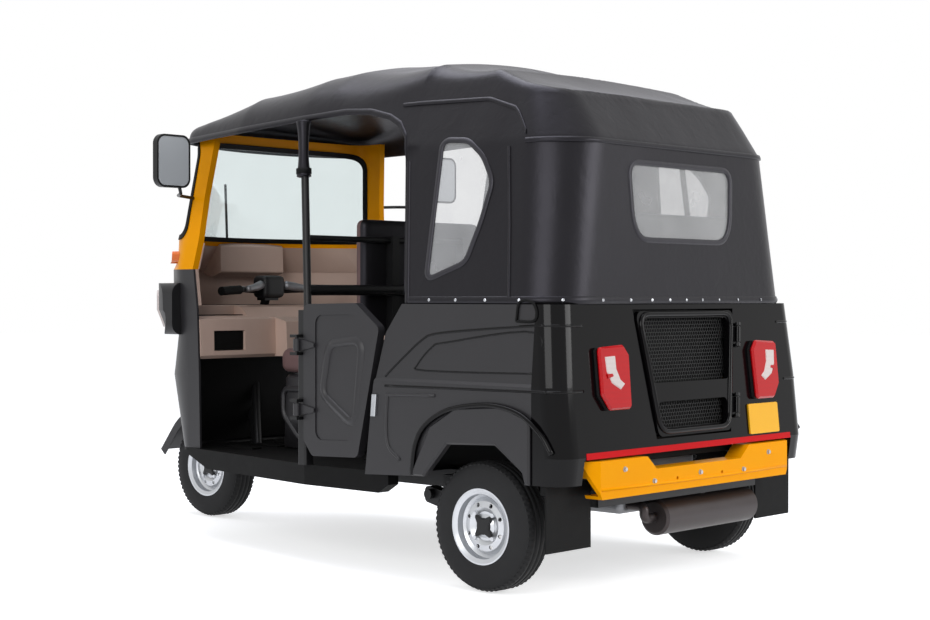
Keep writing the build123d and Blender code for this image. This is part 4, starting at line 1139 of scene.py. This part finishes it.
# %% Pressed lines and rims on the sides
upper_line = [(370, 641), (293, 702), (217, 757), (154, 778), (-71, 796), (-235, 806)]
inner_line = [(-240, 668), (9, 664), (222, 665), (233, 680), (175, 735), (112, 752), (-240, 786), (-240, 668)]
belt_line = [(365, 612), (107, 614), (-255, 616)]
front_line = [(149, 590), (332, 584), (354, 568), (354, 435), (299, 384)]
arch_lip = [(240, 344), (224, 436), (182, 499), (98, 545), (-5, 565), (-104, 569), (-201, 548),
            (-277, 494), (-318, 440)]
body_corner = 70
handle_ring = [(-166, 819), (-176, 874), (-222, 876), (-243, 845), (-231, 820)]


def round_the_corner(z, out, sign):
    """A level run round the body's rear corner and a little way along the rear."""
    side = flank_half_width(z)
    centre_x = rear_foot.x + (z - rear_foot.y) * rear_rise.x + body_corner
    spots = []
    for turn in range(15, 91, 15):
        angle = math.radians(turn)
        spots.append(place(centre_x - (body_corner + out) * math.sin(angle),
                           sign * (side - body_corner + (body_corner + out) * math.cos(angle)), z))
    return spots + [place(centre_x - body_corner - out, sign * (side - body_corner - 46), z)]


def flank_bead(name, line, radius, out, finish, wraps):
    sides = []
    for sign in (1, -1):
        spots = [on_flank(x, z, out, sign) for x, z in line]
        if wraps:
            spots += round_the_corner(line[-1][1], out, sign)
        spots = smooth_path(spots)
        sides.append(tube(name + "_one", spots, radius))
    piece = gather(name, sides)
    shade_smooth(piece.data)
    fasten(piece, finish)
    return piece


# The upper, inner and belt lines are pressed into the charcoal panel, yet their beads are gloss black:
# painted shade of the creases
for name, line, radius, out, finish, wraps in (
        ("bead_upper", upper_line, 5.0, -2.4, "enamel_gloss_black", True),
        ("bead_inner", inner_line, 3.4, -0.6, "enamel_gloss_black", False),
        ("bead_belt", belt_line, 5.0, -2.4, "enamel_gloss_black", True),
        ("bead_front", front_line, 6.0, -1.0, "painted_charcoal_steel", False),
        ("arch_lip", arch_lip, 8.0, 8.0, "enamel_gloss_black", False),
        ("tie_ring", handle_ring + handle_ring[:1], 4.2, 3.0, "rubber_moulded", False)):
    flank_bead(name, line, radius, out, finish, wraps)
print("body lines done")

# %% [markdown]
# The doors and the seat box have pressed pockets, and a latch holds each door.
# A pocket's floor hardly shows, so its rim carries the look. It is a ribbon
# round a rounded outline, low at both edges and high between them.

# %% Pockets in the doors and in the seat box, and the door latches
door_pocket = round_corners([(619, 724), (489, 737), (517, 497), (648, 581)], 26)
box_pocket = round_corners([(1284, 541), (1150, 541), (1150, 352), (1214, 392), (1284, 462)], 20)
for sign, door in ((1, "left_door"), (-1, "right_door")):
    side = "left" if sign > 0 else "right"
    for name, outline, face_y, width, rise, body in (("door_pocket_", door_pocket, 644, 30, 9, door),
                                                     ("box_pocket_", box_pocket, 256, 24, 8, "root")):
        rim = pressed_rim(name + side, outline, lambda u, v, out: place(u, sign * (face_y + out), v),
                          width, rise)
        rim = gather(rim.name, [rim])
        fasten(rim, "painted_charcoal_steel", body)
    latch = plate("door_latch_" + side, [(404, 514), (424, 514), (418, 584), (398, 584)],
                  lambda u, v, out: place(u, sign * (650 + out), v), -1, 8)
    fasten(latch, "zinc_plated_steel")
print("pockets done")

# %% [markdown]
# At each side the dash has a pocket and, above it, a bowl. A thin near-black plate in each is painted shade:
# upright in the pocket and level in the bowl.

# %% Painted shade in the dash pockets
for sign in (1, -1):
    side = "left" if sign > 0 else "right"
    low_outline = [(sign * y, z) for y, z in ((418, 692), (274, 692), (274, 762), (418, 762))]
    low_pocket_shade = plate("pocket_lining_" + side, low_outline,
                       lambda u, v, out: place(1500 + out, u, v), 0, 3, 1)
    top_outline = [(sign * y, x) for y, x in ((436, 1572), (214, 1572), (214, 1634), (436, 1634))]
    top_bowl_shade = plate("bowl_lining_" + side, top_outline, lambda u, v, out: place(v, u, 819 + out), 0, 3, 1)
    for shade_plate in (low_pocket_shade, top_bowl_shade):
        fasten(shade_plate, "floor_mat_rubber")
print("dash pocket shades done")

# %% [markdown]
# ### The rear
# The tail lamps have a clear block for the reversing light. The bumper and the
# canopy's hem are held by bolts and studs. The hatch's grilles are pressed
# metal with six-sided holes.

# %% Tail lamps, stripe and bolts
clear_block = [(452, 712), (404, 714), (402, 676), (386, 644), (366, 630), (388, 614), (428, 634), (448, 668)]
for sign in (1, -1):
    side = "left" if sign > 0 else "right"
    outline = [(sign * y, z) for y, z in clear_block]
    block = plate("tail_lamp_clear_" + side, outline, on_tail, 20, 26, 3)
    fasten(block, "acrylic_clear")
    inner = [(sign * y, z) for y, z in ((449, 662), (424, 662), (420, 654), (446, 648))]
    spot = plate("tail_lamp_inner_" + side, inner, on_tail, 25, 27, 1)
    fasten(spot, "acrylic_red")
stripe = plate("rear_stripe", [(545, 418), (-545, 418), (-545, 437), (545, 437)], on_tail, -1, 1.2, 0.5)
fasten(stripe, "reflective_tape_red")

back = Vector((-1, 0, 0))
across = Vector((0, 1, 0))
bumper_face = -372
bolt_places = ((385, 382), (-385, 382), (0, 345), (240, 336), (-240, 336))
bumper_bolts = [(place(bumper_face, y, z), back, across) for y, z in bolt_places]
repeated("bumper_bolts", bolt, bumper_bolts, "zinc_plated_steel", "root")
hem_z, hem_out = meet(level_line(curtain_bottom + 12), columns)
hem_studs = []
for index in range(0, len(columns), 7):
    x0, dx, dy = columns[index]
    x, y = x0 + dx * hem_out[index], dy * hem_out[index]
    if x < 292:
        facing = Vector((dx, dy, 0.1)).normalized()
        hem_studs.append((place(x + dx * 2.5, y + dy * 2.5, hem_z[index]), facing, Vector((0, 0, 1))))
repeated("hem_studs", stud, hem_studs, "zinc_plated_steel", "root")
print(len(hem_studs), "studs on the hem")

# %% [markdown]
# Each grille is a field of six-sided cells in staggered rows. It could be cut
# from a sheet, with one cutter for each hole. One small ring set at every cell
# gives the same look with fewer steps.

# %% The hatch's grilles
cell = 13.0
hex_ring = turned_shape("cell_shape", [(6.2, -1.2), (7.9, -1.2), (7.9, 0.4), (6.6, 0.6), (6.2, -1.2)], 6)
build = bmesh.new()
build.from_mesh(hex_ring.data)
bmesh.ops.delete(build, geom=[face for face in build.faces if len(face.verts) > 4], context="FACES_ONLY")
build.to_mesh(hex_ring.data)
build.free()
out_of_tail = Vector((-rear_rise.y, 0, rear_rise.x))


def grille_spots(low, high, low_half, high_half):
    spots = []
    step = cell * math.sqrt(3) / 2
    count = int((high - low) / step)
    for row in range(count + 1):
        z = low + row * step
        half = low_half + (high_half - low_half) * (z - low) / (high - low)
        shift = cell / 2 * (row % 2)
        y = -math.floor(half / cell) * cell + shift
        while y <= half:
            spots.append((on_tail(y, z, -13.6), out_of_tail, Vector((0, 1, 0))))
            y += cell
    return spots


# Low and high edge above the panel's foot, and half the width at each
foot = rear_foot.y
mesh_spots = grille_spots(foot + 170, foot + 363, 206, 228) + grille_spots(foot + 24, foot + 109, 172, 187)
grille = repeated("hatch_grille", hex_ring, mesh_spots, "chassis_black_steel", "hatch")
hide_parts("hatch_mesh")
print(len(mesh_spots), "cells,", len(grille.data.polygons), "faces")

# %% [markdown]
# A rolled rim stiffens the hatch. A plain near-black plate behind its grilles is painted shade for the bay,
# and another, as dark as the shaded footwell, stands for what is in front of the driver's feet. The photo
# shows bright rods and perhaps pedals there. They are left out.

# %% The hatch's rolled rim, the painted shade of the bay behind it and the cab's front board
hatch_rim = [(-246, 836), (246, 836), (184, 478), (-184, 478)]
rim_path = [on_tail(y, z, 6) for y, z in round_corners(hatch_rim, 46)]
rim = tube("hatch_rim", rim_path, 9, 10, closed=True)
rim = gather("hatch_rim", [rim])
shade_smooth(rim.data)
fasten(rim, "enamel_gloss_black", "hatch")
bay = plate("engine_bay_shade", [(300, 396), (-300, 396), (-262, 846), (262, 846)], on_tail, -70, -66)
fasten(bay, "floor_mat_rubber")
board = plate("cab_front_board", [(436, 348), (-436, 348), (-436, 655), (436, 655)],
              lambda u, v, out: place(1628 + out + (1 - (u / 436) ** 2) * 24, u, v), 0, 5, 1)
fasten(board, "floor_mat_rubber")
crease_line = ((494, 329), (240, 326), (0, 325), (-240, 326), (-494, 329))
crease = tube("bumper_crease", [place(bumper_face + 0.5, y, z) for y, z in crease_line], 4.5)
fasten(crease, "enamel_marigold")
print("hatch rim, bay and board done")

# %% [markdown]
# A painted cover wraps the seat box. It is a ribbon round a rounded plan, open
# at the rear, with its top edge turned in a little. The photo's cover is a
# lighter brown moulding. That one isn't modelled.

# %% The painted cover round the seat box
cover_plan = round_corners([(932, 258), (1304, 258), (1304, -258), (932, -258)], 34)
cover_plan = [p for p in cover_plan if p[0] > 960]
cover_lines = []
for z, shrink in ((340, 0), (470, 2), (592, 5), (604, 11)):
    cover_lines.append([place(x - shrink, y - math.copysign(shrink, y), z) for x, y in cover_plan])
cover = ribbon("seat_box_cover", cover_lines, False)
thick = cover.modifiers.new("thickness", "SOLIDIFY")
thick.thickness = 0.003
settle(cover)
cover = gather("seat_box_cover", [cover])
shade_smooth(cover.data)
fasten(cover, "painted_charcoal_steel")
print("seat box cover done")

# %% [markdown]
# ### The steering head, wheels and curtains
# The controls turn with the handlebar. The hubs and the tread blocks turn with
# their wheels. The side curtains are rolled up and strapped to the posts.

# %% Controls on the handlebar
cowl = padded_box("steering_cowl", (1630, -54, 884), (1712, 54, 972), 20, 10, lambda u, v, w: (0, 0, 0))
fasten(cowl, "polypropylene_black", "steering")
for sign in (1, -1):
    side = "left" if sign > 0 else "right"
    run = [place(x, sign * y, z) for x, y, z in ((1648, 60, 935), (1622, 110, 926), (1604, 165, 919))]
    perch = tube("lever_perch_" + side, smooth_path(run, 4), [17, 17, 17, 17, 15, 14, 13, 12, 12])
    fasten(perch, "cast_aluminium", "steering")
    run = [place(x, sign * y, z) for x, y, z in ((1640, 150, 925), (1632, 210, 922), (1622, 262, 918))]
    lever = tube("hand_lever_" + side, smooth_path(run, 4), [5, 5, 5, 4.5, 4.5, 4.5, 4.5, 5, 6])
    fasten(lever, "zinc_plated_steel", "steering")
print("controls done")

# %% [markdown]
# Each wheel has a hub plate with four arms and 128 tread blocks, half of them
# at each shoulder and leaning outwards.

# %% Hubs and tread blocks
star = []
for step in range(48):
    turn = 2 * math.pi * step / 48
    reach_out = 25 + 19 * math.sin(2 * turn) ** 6
    star.append((reach_out * math.cos(turn), reach_out * math.sin(turn)))
tread_block = plate("tread_block", [(-5, -9), (5, -9), (5, 9), (-5, 9)],
                    lambda u, v, out: Vector((u, v, out)) / 1000, -1.5, 2.2, 1.0)
blocks_round = 64
block_radius = 0.1905
block_side = 0.0385
block_lean = 0.55
outward = {"wheel_front": 1, "wheel_rear_left": 1, "wheel_rear_right": -1}
for wheel, tyre, body in wheel_bodies:
    centre = Vector(centre_of(tyre))
    sign = outward[wheel]
    hub = plate(wheel + "_hub", star, lambda u, v, out: centre + Vector((u, sign * out, v)) / 1000,
                31.5, 43, 3)
    fasten(hub, "chassis_black_steel", body)
    blocks = []
    for step in range(blocks_round):
        for edge in (1, -1):
            turn = 2 * math.pi * (step + (0.5 if edge > 0 else 0)) / blocks_round
            out = Vector((math.cos(turn), 0, math.sin(turn)))
            lean_out = (out + Vector((0, edge * block_lean, 0))).normalized()
            along = Vector((-math.sin(turn), 0, math.cos(turn)))
            blocks.append((centre + out * block_radius + Vector((0, edge * block_side, 0)), lean_out, along))
    repeated(tyre + "_blocks", tread_block, blocks, "tyre_rubber", body)
print("hubs and blocks done")

# %% [markdown]
# Each side curtain is a roll, thinner in the middle, with a strap near its
# foot. The small shapes that were set at many places are then removed.

# %% Rolled curtains
for sign in (1, -1):
    side = "left" if sign > 0 else "right"
    spots = [place(831, sign * 569, 1292), place(836, sign * 566, 1330), place(843, sign * 560, 1380),
             place(851, sign * 553, 1440), place(856, sign * 549, 1478)]
    radii = [25 - 8 * math.sin(math.pi * i / 20) for i in range(21)]
    roll = tube("curtain_roll_" + side, smooth_path(spots, 5), radii, 14)
    fasten(roll, "pvc_coated_cloth")
    run = [place(832, sign * 568.5, 1300), place(834, sign * 567.5, 1318)]
    strap = tube("curtain_strap_" + side, run, 26, 14)
    fasten(strap, "rubber_moulded")
for shape in (bolt, stud, hex_ring, tread_block):
    bpy.data.objects.remove(shape)
print("curtains rolled")

# %% [markdown]
# ## Camera
# The camera stands where the photograph was taken from, behind and to the
# left, a little under a metre above the floor.

# %% Camera
camera_place = Vector((-4.3725, 4.394, 0.895))
camera_view = Vector((0.6814, -0.7319, -0.0092))
camera_data = bpy.data.cameras.new("camera")
camera_data.lens = 65.96
camera_data.sensor_width = 36
camera_data.shift_x = 0.0090
camera_data.shift_y = 0.0009
camera = new_object("camera", camera_data)
camera.location = camera_place
camera.rotation_euler = camera_view.to_track_quat("-Z", "Y").to_euler()
bpy.context.scene.camera = camera
print("camera at", tuple(round(v, 3) for v in camera_place))

# %% [markdown]
# ## Studio
# Three large soft lamps light the object: one above, one by the camera and
# one behind. Large lamps give the broad, dim highlights that black paint and
# cloth need. The floor is white to the camera and keeps the soft shadow.

# %% Lamps, floor and backdrop
def soft_lamp(name, spot, aim, width, height, power, tone):
    data = bpy.data.lights.new(name, "AREA")
    data.shape = "RECTANGLE"
    data.size = width
    data.size_y = height
    data.energy = power
    data.color = linear(tone)[:3]
    lamp = new_object(name, data)
    lamp.location = spot
    lamp.rotation_euler = (Vector(aim) - Vector(spot)).to_track_quat("-Z", "Y").to_euler()


soft_lamp("lamp_above", (0.2, 0.4, 4.6), (0, 0, 1.0), 4.0, 3.0, 150, "#F2F3FF")
soft_lamp("lamp_camera_side", (-2.2, 5.2, 2.6), (0, 0, 0.8), 3.0, 2.5, 110, "#FFFFFF")
soft_lamp("lamp_rear", (-5.2, -1.6, 2.4), (-0.6, 0, 0.9), 2.4, 2.6, 120, "#FFFFFF")


def seen_rays(tree):
    """1 for camera, glossy and transmission rays, 0 for all others."""
    path = add(tree, "ShaderNodeLightPath")
    seen = add(tree, "ShaderNodeMath", {0: path.outputs["Is Camera Ray"], 1: path.outputs["Is Glossy Ray"]},
               operation="MAXIMUM")
    seen = add(tree, "ShaderNodeMath", {0: seen.outputs[0], 1: path.outputs["Is Transmission Ray"]},
               operation="MAXIMUM")
    return seen.outputs[0]


world = bpy.data.worlds.new("studio")
bpy.context.scene.world = world
world.use_nodes = True
sky_tree = world.node_tree
sky_tree.nodes.clear()
dim = add(sky_tree, "ShaderNodeBackground", {"Color": linear("#E8ECF2"), "Strength": 0.55})
white = add(sky_tree, "ShaderNodeBackground", {"Color": (1, 1, 1, 1), "Strength": 1.0})
sky = add(sky_tree, "ShaderNodeMixShader", {"Fac": seen_rays(sky_tree), 1: dim.outputs[0],
          2: white.outputs[0]})
add(sky_tree, "ShaderNodeOutputWorld", {"Surface": sky.outputs[0]})

floor_material, floor_tree = new_finish("studio_floor")
floor_paint = add(floor_tree, "ShaderNodeBsdfDiffuse", {"Color": linear("#F4F4F4")})
floor_glow = add(floor_tree, "ShaderNodeEmission", {"Color": (1, 1, 1, 1), "Strength": 0.62})
floor_white = add(floor_tree, "ShaderNodeAddShader", {0: floor_paint.outputs[0], 1: floor_glow.outputs[0]})
floor_grey = add(floor_tree, "ShaderNodeBsdfDiffuse", {"Color": linear("#B0B0B0")})
show(floor_tree, add(floor_tree, "ShaderNodeMixShader", {"Fac": seen_rays(floor_tree),
     1: floor_grey.outputs[0], 2: floor_white.outputs[0]}))
floor = new_mesh("studio_floor", [(-30, -30, 0), (30, -30, 0), (30, 30, 0), (-30, 30, 0)],
                 [(0, 1, 2, 3)], False)
floor.data.materials.append(floor_material)
bpy.context.scene.view_settings.view_transform = "Standard"
print("studio ready")
